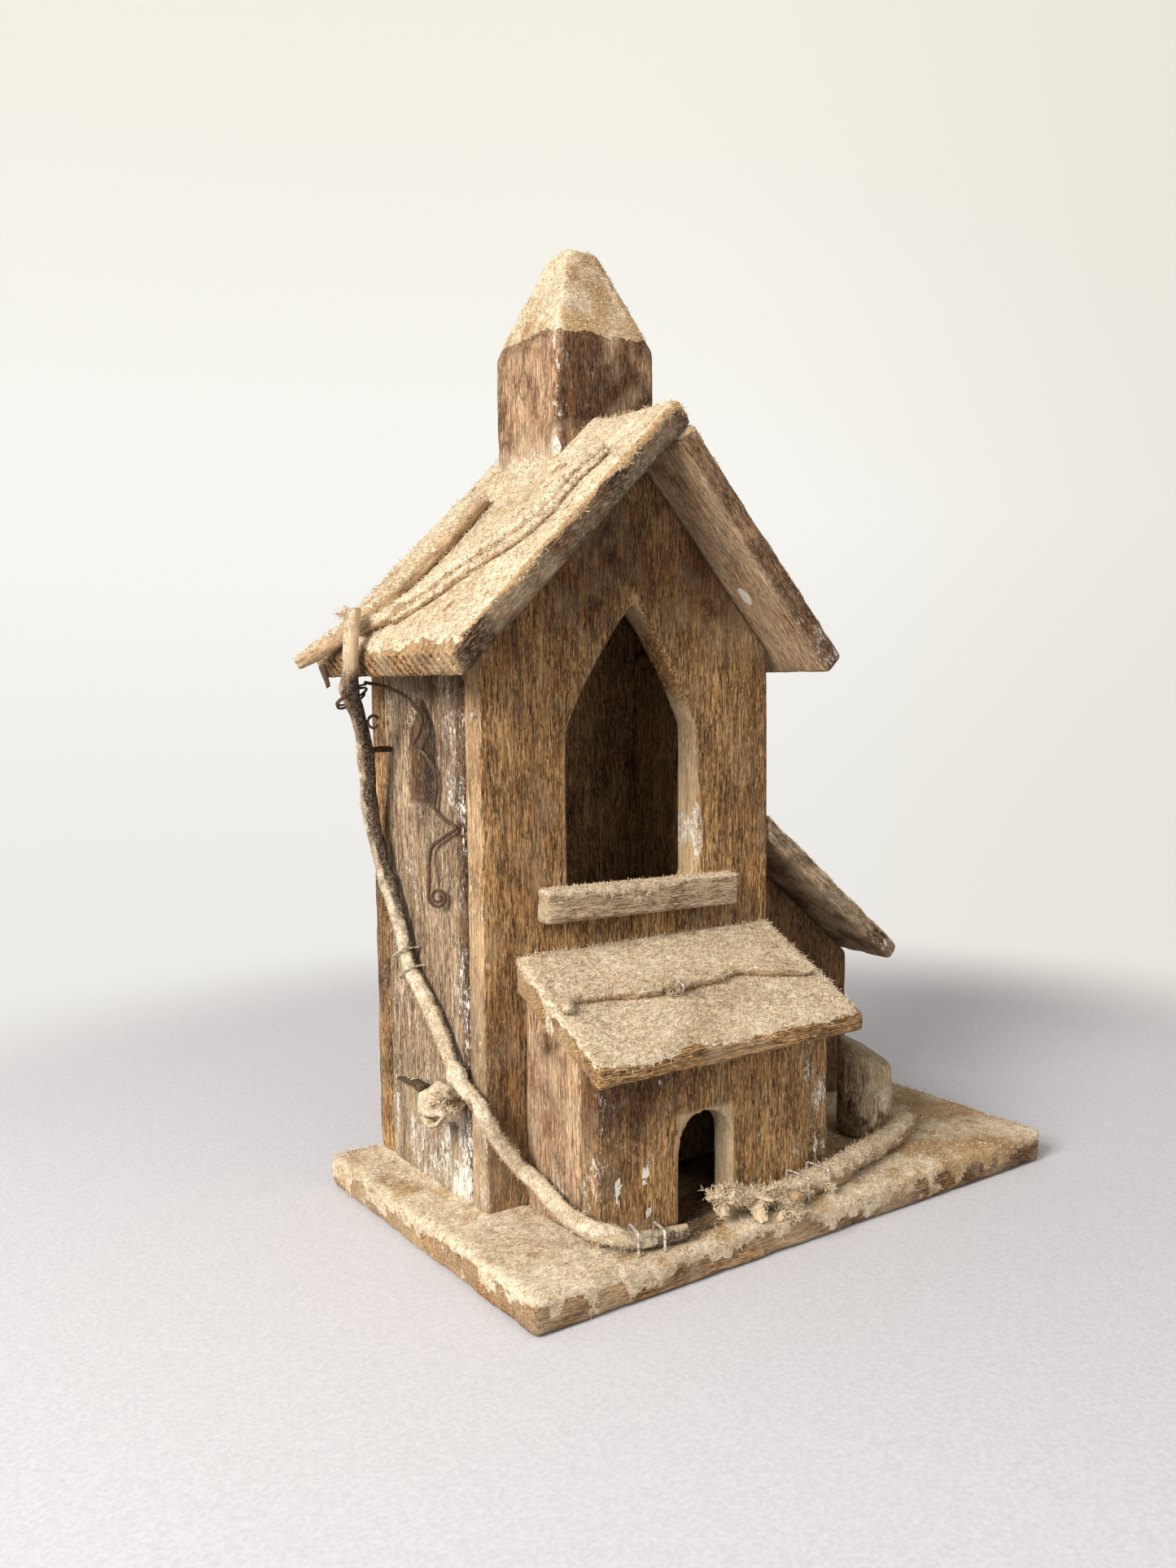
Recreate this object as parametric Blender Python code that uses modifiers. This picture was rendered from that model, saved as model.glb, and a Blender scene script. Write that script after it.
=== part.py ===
"""A rustic church-shaped birdhouse: a gabled tower with a steeple block, a porch and a side annex,
all on one base board, with dried vine stems stapled to it.

Frame: metres, +Z up, the front faces -Y.  The origin is the middle of the base board's underside.
"""
import math

import bmesh
import bpy
from mathutils import Matrix, Vector

MM = 0.001
GAP = 0.3                        # clearance left between touching pieces
UPRIGHT_GAP = 0.45               # the same clearance measured straight up under a sloping roof

# Base board
BASE_X = 189.0
BASE_Y = 114.0
BASE_Z = 9.5
FLOOR = BASE_Z + GAP             # where everything on the base starts

# Tower
TOWER_LEFT = -80.0
TOWER_RIGHT = 20.0
TOWER_FRONT = -12.0
TOWER_BACK = 53.0
PANEL = 8.7                      # front and back panels
SIDE = 9.0                       # side walls

# Main roof: the left board runs over the ridge, the right board butts under it
RIDGE_X = -29.4                  # line where the two undersides meet
RIDGE_Z = 214.2
LEFT_PITCH = math.radians(43.6)
RIGHT_PITCH = math.radians(47.4)
ROOF = 7.6                       # board thickness
LEFT_RUN = 89.7                  # underside, ridge line to eave
RIGHT_RUN = 83.7
LEFT_LAP = 7.6                   # left board past the ridge line
ROOF_FRONT = -30.2
ROOF_BACK = 54.0
EAVE_WEAR = ((87.5, 6.2), (82.6, ROOF))   # worn upper corner of the left eave: distance, height

# Pointed window in the front panel
WINDOW_LEFT = -53.0
WINDOW_RIGHT = -8.8
WINDOW_SILL = 94.0
WINDOW_SHOULDER = 138.0
WINDOW_APEX = (-30.0, 173.0)
WINDOW_BULGE = 1.3

# Shallow blind window in the left wall
BLIND_FRONT = 13.5
BLIND_BACK = 30.0
BLIND_SILL = 117.5
BLIND_SHOULDER = 138.0
BLIND_APEX = (21.7, 147.7)
BLIND_BULGE = 1.0
BLIND_DEPTH = 1.6

# Perch bar under the window
PERCH_LEFT = -63.8
PERCH_LENGTH = 67.0
PERCH_DEPTH = 5.5
PERCH_HEIGHT = 9.0
PERCH_MIDDLE_Z = 91.0
PERCH_TILT = math.radians(1.2)

# Steeple block over the ridge
STEEPLE_X = -26.0
STEEPLE_Y = 22.5
STEEPLE_WIDTH = 34.0
STEEPLE_FOOT = 190.0
STEEPLE_EAVE = 247.0
STEEPLE_TOP = 276.0
STEEPLE_BLUNT = 10.0             # width of the blunt top

# Porch
PORCH_LEFT = -68.0
PORCH_RIGHT = 12.0
PORCH_FRONT = -45.5
PORCH_PANEL = 7.5
PORCH_SIDE = 7.0
DOOR_LEFT = -41.7
DOOR_RIGHT = -24.3
DOOR_TOP = 38.5
PORCH_ROOF_LEFT = -70.7          # at the tower, before the skew
PORCH_ROOF_LENGTH = 89.4
PORCH_ROOF_FRONT = -57.0
PORCH_ROOF_SKEW = 0.105          # sideways lean of the board's ends
PORCH_ROOF_BACK_Z = (69.3, 79.0)   # underside and top at the tower
PORCH_ROOF_FRONT_Z = (54.4, 59.8)  # underside and top at the front edge

# Annex against the tower's right wall
ANNEX_RIGHT = 74.0
ANNEX_FRONT = 7.0
ANNEX_BACK = 48.0
ANNEX_WALL = 7.0
ANNEX_ROOF_FRONT = -11.5
ANNEX_ROOF_BACK = 52.0
ANNEX_ROOF_HIGH = 103.4          # underside height at the tower
ANNEX_PITCH = math.radians(39.3)
ANNEX_ROOF = 5.9
ANNEX_RUN = 71.5                 # underside, tower to eave

# Log stump beside the porch
STUMP_X = 48.4
STUMP_Y = -25.3
STUMP_RADIUS = 8.6
STUMP_TOP_RADIUS = 8.2
STUMP_HEIGHT = 36.4
STUMP_SLANT = 5.0                # rise and fall of the slanted top about its middle
STUMP_LOW_SIDE = math.radians(-35.0)

# Bright brad end in the edge of the front panel
BRAD_Y = -9.6
BRAD_Z = 143.0
BRAD_LENGTH = 9.0
BRAD_RADIUS = 0.6
BRAD_OUT = 0.8

# Main vine, 4.6 mm thick, from the eave down the left wall and round the porch; x, y, z
VINE_RADIUS = 2.3
MAIN_VINE = ((-99.6, 21.0, 171.5), (-99.9, 21.5, 159.0), (-97.5, 28.2, 149.3), (-93.8, 31.5, 142.3),
             (-89.6, 36.3, 133.0), (-86.0, 41.5, 114.0), (-84.4, 39.5, 102.0), (-83.4, 30.4, 85.0),
             (-83.2, 23.0, 71.0), (-83.2, 9.8, 60.2), (-83.4, -2.0, 47.8), (-83.5, -9.8, 43.2),
             (-83.0, -15.0, 40.0), (-79.5, -16.0, 33.6), (-75.0, -16.6, 27.0), (-71.4, -19.4, 21.8),
             (-71.2, -28.5, 19.3), (-71.4, -38.0, 17.0), (-70.5, -46.5, 16.4), (-66.5, -49.6, 15.2),
             (-62.0, -50.8, 13.2), (-56.0, -52.0, 12.3), (-46.0, -53.6, 12.3))
KNOT = ((-85.0, -2.6, 39.6), (-85.6, 2.5, 38.6), (-85.8, 8.0, 37.4))
KNOT_RADII = (2.9, 3.9)
SIDE_SHOOT = ((-84.6, 13.0, 39.2), (-84.2, 20.0, 39.3), (-83.0, 28.0, 37.8), (-82.2, 34.5, 36.5))
SIDE_SHOOT_RADII = (1.3, 0.8)
PEG_END = (-86.7, 37.8, 132.3)
PEG_START_Y = 39.5
PEG_RADIUS = 0.9

# Tendril: a thin dry curl that hangs off the vine and ends in a small spiral
TENDRIL_RADIUS = 0.6
TENDRIL = ((-93.0, 28.6, 151.6), (-88.0, 27.0, 150.5), (-83.6, 23.7, 148.0), (-82.0, 19.2, 144.4),
           (-81.7, 16.7, 140.9), (-81.6, 19.3, 136.6), (-81.6, 22.0, 134.3), (-81.6, 15.6, 131.8),
           (-81.6, 10.1, 127.8), (-81.6, 9.0, 123.5), (-81.6, 10.3, 117.5), (-81.6, 5.6, 114.9),
           (-81.6, -1.0, 112.9), (-81.6, 5.3, 109.9), (-81.8, 12.2, 106.3), (-82.8, 12.0, 101.0),
           (-84.6, 9.2, 93.5))
SPIRAL_RADII = (2.8, 0.9)
SPIRAL_TURNS = 1.6
SPIRAL_ACROSS = (0.6, -0.8)      # the spiral's flat direction seen from above

# Dry curls where the vine passes the eave
COIL_MIDDLE = (-96.9, 28.6, 147.6)
COIL_RADIUS = 5.4
COIL_TURNS = 1.75
COIL_PITCH = 2.6
SMALL_CURL_MIDDLE = (-89.6, 30.4, 140.6)
SMALL_CURL_RADIUS = 1.7
HANGING_SHOOT = ((-100.4, 39.5, 156.2), (-100.3, 38.0, 153.5), (-100.0, 37.0, 150.5))
HANGING_SHOOT_RADII = (1.1, 0.8)

# Twigs on the left roof board: distance down the slope from the ridge line, and y
FRONT_TWIG = ((80.4, 26.0), (74.9, 16.4), (66.9, 7.6), (58.6, 1.0), (51.5, -6.5), (44.0, -13.6),
              (35.3, -15.8), (21.0, -15.2), (11.9, -18.0))
REAR_TWIG = ((93.4, 47.5), (89.0, 41.4), (83.3, 36.0), (73.8, 31.5), (66.1, 27.0), (47.6, 24.2),
             (26.0, 25.0))
FRONT_TWIG_RADIUS = 2.0
REAR_TWIG_RADIUS = 2.4

# Twigs on the porch roof: x, y
PORCH_TWIG_RADIUS = 1.2
PORCH_TWIG_LEFT = ((-71.6, -38.3), (-68.5, -35.0), (-60.7, -34.3), (-51.3, -35.6), (-41.0, -36.9))
PORCH_TWIG_RIGHT = ((-37.5, -37.4), (-33.1, -36.6), (-21.3, -36.0), (-13.7, -34.4), (-1.8, -37.4),
                    (10.0, -40.4))

# Thick branch lying on the base: x, y
BRANCH_RADIUS = 3.2
BRANCH_Z = FLOOR + BRANCH_RADIUS
BRANCH = ((-31.0, -50.0), (-22.0, -50.8), (-12.0, -51.4), (0.5, -50.0), (12.0, -49.2), (25.0, -45.2),
          (38.0, -41.8), (48.7, -38.6), (59.0, -33.2))
STUB_X = -10.4
STUB_Y = -51.3
STUB_RADIUS = 1.9
STUB_LENGTH = 3.0

WIRE = 0.4                       # radius of staple wire and of the thinnest curls

# Staples: middle on the stem's centre line, the stem's direction, and how far down the board is
WALL_STAPLES = (((-83.3, 25.6, 75.5), (0.0, -0.50, -0.86), 3.3),
                ((-83.2, 22.6, 70.4), (0.0, -0.62, -0.78), 3.2))
FRONT_STAPLES = (((-61.0, -51.0, 13.0), (0.94, -0.25, -0.2), 3.4),
                 ((-54.0, -52.3, 12.3), (1.0, -0.18, 0.0), 2.7))
BRANCH_STAPLES = ((-5.0, -50.8), (3.5, -49.9))
BRANCH_STAPLE_ALONG = (1.0, 0.10, 0.0)
PORCH_STAPLE = (-35.4, -36.9)
PORCH_STAPLE_ALONG = (1.0, 0.15, 0.0)
PORCH_ROOF_NORMAL = (0.0, -0.41, 0.91)
LEFTWARD = (-1.0, 0.0, 0.0)
UPWARD = (0.0, 0.0, 1.0)

WOOD_DARK = (0.105, 0.055, 0.024)
WOOD_BROWN = (0.19, 0.098, 0.040)
WOOD_GREY = (0.22, 0.155, 0.095)
WOOD_DUSTY = (0.58, 0.42, 0.25)
BARK = (0.16, 0.10, 0.06)
STEM_PALE = (0.42, 0.31, 0.20)
STEEL = (0.62, 0.60, 0.56)


def clear_scene():
    for obj in list(bpy.data.objects):
        bpy.data.objects.remove(obj, do_unlink=True)


def new_collection(name):
    collection = bpy.data.collections.new(name)
    bpy.context.scene.collection.children.link(collection)
    return collection


clear_scene()
PARTS = new_collection("birdhouse")
CUTTERS = new_collection("cutters")
CUTTERS.hide_render = True


def give_material(obj, colour, roughness=0.9, metallic=0.0):
    material = bpy.data.materials.new(obj.name)
    material.use_nodes = True
    shader = material.node_tree.nodes["Principled BSDF"]
    shader.inputs["Base Color"].default_value = (*colour, 1.0)
    shader.inputs["Roughness"].default_value = roughness
    shader.inputs["Metallic"].default_value = metallic
    obj.data.materials.append(material)


def mesh_from_bmesh(name, shape, collection=PARTS):
    bmesh.ops.recalc_face_normals(shape, faces=shape.faces[:])
    mesh = bpy.data.meshes.new(name)
    shape.to_mesh(mesh)
    shape.free()
    obj = bpy.data.objects.new(name, mesh)
    collection.objects.link(obj)
    return obj


def soften(obj, width=0.5):
    """Round a board's edges a little."""
    bevel = obj.modifiers.new("edge", "BEVEL")
    bevel.width = width * MM
    bevel.segments = 1
    bevel.limit_method = "ANGLE"
    bevel.angle_limit = math.radians(40)


def cut(obj, cutter):
    boolean = obj.modifiers.new("cut", "BOOLEAN")
    boolean.operation = "DIFFERENCE"
    boolean.solver = "EXACT"
    boolean.object = cutter
    cutter.display_type = "WIRE"
    cutter.hide_render = True


def outline_board(name, outlines, near, far, across, collection=PARTS):
    """A flat board from closed outlines, the first one the edge and the others holes.

    across "Y": outlines are (x, z) and the board runs from y = near to y = far.
    across "X": outlines are (y, z) and the board runs from x = near to x = far.
    """
    curve = bpy.data.curves.new(name, "CURVE")
    curve.dimensions = "2D"
    curve.fill_mode = "BOTH"
    curve.extrude = abs(far - near) / 2 * MM
    for outline in outlines:
        spline = curve.splines.new("POLY")
        spline.points.add(len(outline) - 1)
        spline.use_cyclic_u = True
        for point, (u, v) in zip(spline.points, outline):
            point.co = (u * MM, v * MM, 0.0, 1.0)
    flat = bpy.data.objects.new(name + "_outline", curve)
    bpy.context.scene.collection.objects.link(flat)
    bpy.context.view_layer.update()
    mesh = bpy.data.meshes.new_from_object(flat.evaluated_get(bpy.context.evaluated_depsgraph_get()))
    bpy.data.objects.remove(flat, do_unlink=True)
    middle = (near + far) / 2 * MM
    if across == "Y":
        turn = Matrix(((1, 0, 0, 0), (0, 0, -1, middle), (0, 1, 0, 0), (0, 0, 0, 1)))
    else:
        turn = Matrix(((0, 0, 1, middle), (1, 0, 0, 0), (0, 1, 0, 0), (0, 0, 0, 1)))
    shape = bmesh.new()
    shape.from_mesh(mesh)
    bpy.data.meshes.remove(mesh)
    bmesh.ops.remove_doubles(shape, verts=shape.verts[:], dist=0.01 * MM)
    bmesh.ops.transform(shape, matrix=turn, verts=shape.verts[:])
    return mesh_from_bmesh(name, shape, collection)


def block(name, low, high, collection=PARTS):
    """A straight-sided block between two opposite corners."""
    size = [(b - a) * MM for a, b in zip(low, high)]
    middle = [(a + b) / 2 * MM for a, b in zip(low, high)]
    shape = bmesh.new()
    bmesh.ops.create_cube(shape, size=1.0)
    bmesh.ops.scale(shape, vec=size, verts=shape.verts[:])
    bmesh.ops.translate(shape, vec=middle, verts=shape.verts[:])
    return mesh_from_bmesh(name, shape, collection)


def rod(name, start, end, radius, sides=16, collection=PARTS):
    """A straight round rod between two points."""
    start = Vector(start) * MM
    end = Vector(end) * MM
    axis = end - start
    shape = bmesh.new()
    bmesh.ops.create_cone(shape, cap_ends=True, segments=sides, radius1=radius * MM,
                          radius2=radius * MM, depth=axis.length)
    turn = axis.to_track_quat("Z", "Y").to_matrix().to_4x4()
    bmesh.ops.transform(shape, matrix=Matrix.Translation((start + end) / 2) @ turn, verts=shape.verts[:])
    return mesh_from_bmesh(name, shape, collection)


def smooth_path(points, per_span=5):
    """Points along a smooth curve through the given ones (Catmull-Rom)."""
    knots = [Vector(point) for point in points]
    knots = [2 * knots[0] - knots[1]] + knots + [2 * knots[-1] - knots[-2]]
    path = []
    for a, b, c, d in zip(knots, knots[1:], knots[2:], knots[3:]):
        for step in range(per_span):
            t = step / per_span
            path.append(0.5 * (2 * b + (c - a) * t + (2 * a - 5 * b + 4 * c - d) * t ** 2
                               + (3 * b - a - 3 * c + d) * t ** 3))
    path.append(knots[-2])
    return path


def stem(name, path, start_radius, end_radius):
    """A round stem along a path, tapering evenly from one radius to the other."""
    curve = bpy.data.curves.new(name, "CURVE")
    curve.dimensions = "3D"
    curve.bevel_depth = start_radius * MM
    curve.bevel_resolution = 2
    curve.use_fill_caps = True
    spline = curve.splines.new("POLY")
    spline.points.add(len(path) - 1)
    for index, (point, place) in enumerate(zip(spline.points, path)):
        point.co = (*(Vector(place) * MM), 1.0)
        along = index / (len(path) - 1)
        point.radius = 1.0 + (end_radius / start_radius - 1.0) * along
    obj = bpy.data.objects.new(name, curve)
    PARTS.objects.link(obj)
    return obj


def arc_between(start, end, bulge, count=6):
    """Points of a circular arc from start to end that stands bulge to the left of the chord."""
    start = Vector(start)
    end = Vector(end)
    chord = end - start
    radius = (chord.length_squared / 4 + bulge ** 2) / (2 * bulge)
    side = Vector((-chord.y, chord.x)).normalized()
    centre = (start + end) / 2 + side * (bulge - radius)
    half = math.asin(chord.length / 2 / radius)
    first = math.atan2(start.y - centre.y, start.x - centre.x)
    points = []
    for step in range(count + 1):
        angle = first - 2 * half * step / count
        points.append((centre.x + radius * math.cos(angle), centre.y + radius * math.sin(angle)))
    return points


def pointed_arch(left, right, sill, shoulder, apex, bulge):
    rise = arc_between((left, shoulder), apex, bulge)
    fall = arc_between(apex, (right, shoulder), bulge)
    return [(left, sill)] + rise + fall[1:] + [(right, sill)]


def roof_point(pitch, side, along, height):
    """A point of a main roof board: distance down the slope and height above its underside."""
    x = RIDGE_X + side * (along * math.cos(pitch) + height * math.sin(pitch))
    z = RIDGE_Z - along * math.sin(pitch) + height * math.cos(pitch)
    return (x, z)


def left_roof(along, height):
    return roof_point(LEFT_PITCH, -1.0, along, height)


def right_roof(along, height):
    return roof_point(RIGHT_PITCH, 1.0, along, height)


def make_base():
    half_x = BASE_X / 2
    half_y = BASE_Y / 2
    base = block("base_board", (-half_x, -half_y, 0.0), (half_x, half_y, BASE_Z))
    soften(base, 0.8)
    give_material(base, WOOD_DUSTY)


def gable_outline():
    """Tower cross-section just under the roof boards."""
    left_z = RIDGE_Z - (RIDGE_X - TOWER_LEFT) * math.tan(LEFT_PITCH) - UPRIGHT_GAP
    right_z = RIDGE_Z - (TOWER_RIGHT - RIDGE_X) * math.tan(RIGHT_PITCH) - UPRIGHT_GAP
    return [(TOWER_LEFT, FLOOR), (TOWER_RIGHT, FLOOR), (TOWER_RIGHT, right_z),
            (RIDGE_X, RIDGE_Z - UPRIGHT_GAP), (TOWER_LEFT, left_z)]


def make_tower():
    gable = gable_outline()
    window = pointed_arch(WINDOW_LEFT, WINDOW_RIGHT, WINDOW_SILL, WINDOW_SHOULDER, WINDOW_APEX, WINDOW_BULGE)
    front = outline_board("front_panel", [gable, window], TOWER_FRONT, TOWER_FRONT + PANEL, "Y")
    brad_hole = rod("brad_hole", (TOWER_LEFT - 1.0, BRAD_Y, BRAD_Z),
                    (TOWER_LEFT + BRAD_LENGTH + 1.0, BRAD_Y, BRAD_Z), BRAD_RADIUS + GAP, collection=CUTTERS)
    cut(front, brad_hole)
    soften(front)
    give_material(front, WOOD_BROWN)
    back = outline_board("back_panel", [gable], TOWER_BACK - PANEL, TOWER_BACK, "Y")
    soften(back)
    give_material(back, WOOD_GREY)

    wall_front = TOWER_FRONT + PANEL + GAP
    wall_back = TOWER_BACK - PANEL - GAP
    left = block("left_side_wall", (TOWER_LEFT, wall_front, FLOOR),
                 (TOWER_LEFT + SIDE, wall_back, gable[4][1]))
    arch = pointed_arch(BLIND_FRONT, BLIND_BACK, BLIND_SILL, BLIND_SHOULDER, BLIND_APEX, BLIND_BULGE)
    recess = outline_board("blind_window", [arch], TOWER_LEFT - 1.0, TOWER_LEFT + BLIND_DEPTH, "X", CUTTERS)
    cut(left, recess)
    soften(left)
    give_material(left, WOOD_GREY)
    right = block("right_side_wall", (TOWER_RIGHT - SIDE, wall_front, FLOOR),
                  (TOWER_RIGHT, wall_back, gable[2][1]))
    soften(right)
    give_material(right, WOOD_BROWN)


def make_corner_brad():
    brad = rod("corner_brad", (TOWER_LEFT - BRAD_OUT, BRAD_Y, BRAD_Z),
               (TOWER_LEFT + BRAD_LENGTH - BRAD_OUT, BRAD_Y, BRAD_Z), BRAD_RADIUS)
    give_material(brad, STEEL, 0.5, 0.6)


def make_main_roof():
    outline = [left_roof(LEFT_RUN, 0.0), left_roof(*EAVE_WEAR[0]), left_roof(*EAVE_WEAR[1]),
               left_roof(-LEFT_LAP, ROOF), left_roof(-LEFT_LAP, 0.0)]
    left = outline_board("left_roof_board", [outline], ROOF_FRONT, ROOF_BACK, "Y")
    soften(left, 0.6)
    give_material(left, WOOD_DUSTY)
    outline = [right_roof(GAP, 0.0), right_roof(RIGHT_RUN, 0.0), right_roof(RIGHT_RUN, ROOF),
               right_roof(GAP, ROOF)]
    right = outline_board("right_roof_board", [outline], ROOF_FRONT, ROOF_BACK, "Y")
    soften(right, 0.6)
    give_material(right, WOOD_BROWN)


def make_steeple():
    shape = bmesh.new()
    half_diagonal = math.sqrt(0.5)
    rise = STEEPLE_TOP - STEEPLE_EAVE
    bmesh.ops.create_cone(shape, cap_ends=True, segments=4, radius1=STEEPLE_WIDTH * half_diagonal * MM,
                          radius2=STEEPLE_BLUNT * half_diagonal * MM, depth=rise * MM)
    bmesh.ops.rotate(shape, matrix=Matrix.Rotation(math.radians(45), 3, "Z"), verts=shape.verts[:])
    underside = [face for face in shape.faces if face.normal.z < -0.5]
    pulled = bmesh.ops.extrude_face_region(shape, geom=underside)
    corners = [item for item in pulled["geom"] if isinstance(item, bmesh.types.BMVert)]
    bmesh.ops.translate(shape, vec=(0.0, 0.0, (STEEPLE_FOOT - STEEPLE_EAVE) * MM), verts=corners)
    bmesh.ops.delete(shape, geom=underside, context="FACES_ONLY")
    middle = Vector((STEEPLE_X, STEEPLE_Y, STEEPLE_EAVE + rise / 2)) * MM
    bmesh.ops.translate(shape, vec=middle, verts=shape.verts[:])
    steeple = mesh_from_bmesh("steeple_block", shape)

    reach = STEEPLE_WIDTH
    above = ROOF + GAP
    saddle = [left_roof(reach, above), left_roof(-LEFT_LAP - GAP, above), left_roof(-LEFT_LAP - GAP, -GAP),
              right_roof(LEFT_LAP, above), right_roof(reach, above), (RIDGE_X + reach, STEEPLE_FOOT - reach),
              (RIDGE_X - reach, STEEPLE_FOOT - reach)]
    notch = outline_board("steeple_notch", [saddle], STEEPLE_Y - reach, STEEPLE_Y + reach, "Y", CUTTERS)
    cut(steeple, notch)
    soften(steeple, 0.8)
    give_material(steeple, WOOD_GREY)


def make_perch():
    middle = (PERCH_LEFT + PERCH_LENGTH / 2, TOWER_FRONT - GAP - PERCH_DEPTH / 2, PERCH_MIDDLE_Z)
    perch = block("perch_bar", (-PERCH_LENGTH / 2, -PERCH_DEPTH / 2, -PERCH_HEIGHT / 2),
                  (PERCH_LENGTH / 2, PERCH_DEPTH / 2, PERCH_HEIGHT / 2))
    perch.location = Vector(middle) * MM
    perch.rotation_euler = (0.0, PERCH_TILT, 0.0)
    soften(perch)
    give_material(perch, WOOD_DUSTY)


def porch_roof_underside(y):
    share = (y - PORCH_ROOF_FRONT) / (TOWER_FRONT - GAP - PORCH_ROOF_FRONT)
    return PORCH_ROOF_FRONT_Z[0] + share * (PORCH_ROOF_BACK_Z[0] - PORCH_ROOF_FRONT_Z[0])


def porch_roof_top(y):
    share = (y - PORCH_ROOF_FRONT) / (TOWER_FRONT - GAP - PORCH_ROOF_FRONT)
    return PORCH_ROOF_FRONT_Z[1] + share * (PORCH_ROOF_BACK_Z[1] - PORCH_ROOF_FRONT_Z[1])


def make_porch():
    panel_back = PORCH_FRONT + PORCH_PANEL
    panel_top = porch_roof_underside(PORCH_FRONT) - UPRIGHT_GAP
    door_middle = (DOOR_LEFT + DOOR_RIGHT) / 2
    door_radius = (DOOR_RIGHT - DOOR_LEFT) / 2
    door_arch = []
    for step in range(13):
        angle = math.radians(180 - 15 * step)
        door_arch.append((door_middle + door_radius * math.cos(angle),
                          DOOR_TOP - door_radius + door_radius * math.sin(angle)))
    outline = [(PORCH_LEFT, FLOOR), (DOOR_LEFT, FLOOR), *door_arch, (DOOR_RIGHT, FLOOR),
               (PORCH_RIGHT, FLOOR), (PORCH_RIGHT, panel_top), (PORCH_LEFT, panel_top)]
    front = outline_board("porch_front", [outline], PORCH_FRONT, panel_back, "Y")
    soften(front)
    give_material(front, WOOD_BROWN)

    side_front = panel_back + GAP
    side_back = TOWER_FRONT - GAP
    outline = [(side_front, FLOOR), (side_back, FLOOR),
               (side_back, porch_roof_underside(side_back) - UPRIGHT_GAP),
               (side_front, porch_roof_underside(side_front) - UPRIGHT_GAP)]
    left = outline_board("porch_left_wall", [outline], PORCH_LEFT, PORCH_LEFT + PORCH_SIDE, "X")
    soften(left)
    give_material(left, WOOD_BROWN)
    right = outline_board("porch_right_wall", [outline], PORCH_RIGHT - PORCH_SIDE, PORCH_RIGHT, "X")
    soften(right)
    give_material(right, WOOD_BROWN)


def make_porch_roof():
    back = TOWER_FRONT - GAP
    outline = [(PORCH_ROOF_FRONT, PORCH_ROOF_FRONT_Z[0]), (back, PORCH_ROOF_BACK_Z[0]),
               (back, PORCH_ROOF_BACK_Z[1]), (PORCH_ROOF_FRONT, PORCH_ROOF_FRONT_Z[1])]
    roof = outline_board("porch_roof_board", [outline], PORCH_ROOF_LEFT,
                         PORCH_ROOF_LEFT + PORCH_ROOF_LENGTH, "X")
    for vertex in roof.data.vertices:
        vertex.co.x += PORCH_ROOF_SKEW * (vertex.co.y - back * MM)
    soften(roof, 0.7)
    give_material(roof, WOOD_DUSTY)


def annex_underside(x):
    return ANNEX_ROOF_HIGH - (x - TOWER_RIGHT) * math.tan(ANNEX_PITCH)


def make_annex():
    left = TOWER_RIGHT + GAP
    eave_top = annex_underside(ANNEX_RIGHT) - UPRIGHT_GAP
    outline = [(left, FLOOR), (ANNEX_RIGHT, FLOOR), (ANNEX_RIGHT, eave_top),
               (left, annex_underside(left) - UPRIGHT_GAP)]
    front = outline_board("annex_front_wall", [outline], ANNEX_FRONT, ANNEX_FRONT + ANNEX_WALL, "Y")
    soften(front)
    give_material(front, WOOD_DARK)
    back = outline_board("annex_back_wall", [outline], ANNEX_BACK - ANNEX_WALL, ANNEX_BACK, "Y")
    soften(back)
    give_material(back, WOOD_GREY)
    side = block("annex_side_wall", (ANNEX_RIGHT - ANNEX_WALL, ANNEX_FRONT + ANNEX_WALL + GAP, FLOOR),
                 (ANNEX_RIGHT, ANNEX_BACK - ANNEX_WALL - GAP, eave_top))
    soften(side)
    give_material(side, WOOD_BROWN)

    upright = ANNEX_ROOF / math.cos(ANNEX_PITCH)
    eave_x = TOWER_RIGHT + ANNEX_RUN * math.cos(ANNEX_PITCH)
    outline = [(left, annex_underside(left)), (eave_x, annex_underside(eave_x)),
               (eave_x + ANNEX_ROOF * math.sin(ANNEX_PITCH), annex_underside(eave_x)
                + ANNEX_ROOF * math.cos(ANNEX_PITCH)), (left, annex_underside(left) + upright)]
    roof = outline_board("annex_roof_board", [outline], ANNEX_ROOF_FRONT, ANNEX_ROOF_BACK, "Y")
    soften(roof)
    give_material(roof, WOOD_GREY)


def make_stump():
    shape = bmesh.new()
    height = STUMP_HEIGHT - FLOOR
    bmesh.ops.create_cone(shape, cap_ends=True, segments=24, radius1=STUMP_RADIUS * MM,
                          radius2=STUMP_TOP_RADIUS * MM, depth=height * MM)
    bmesh.ops.translate(shape, vec=Vector((STUMP_X, STUMP_Y, FLOOR + height / 2)) * MM, verts=shape.verts[:])
    low = Vector((math.cos(STUMP_LOW_SIDE), math.sin(STUMP_LOW_SIDE)))
    for vertex in shape.verts:
        if vertex.co.z > STUMP_HEIGHT / 2 * MM:
            offset = Vector((vertex.co.x - STUMP_X * MM, vertex.co.y - STUMP_Y * MM))
            vertex.co.z -= STUMP_SLANT * offset.dot(low) / STUMP_RADIUS
    stump = mesh_from_bmesh("log_stump", shape)
    soften(stump, 1.0)
    give_material(stump, WOOD_GREY)


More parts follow.
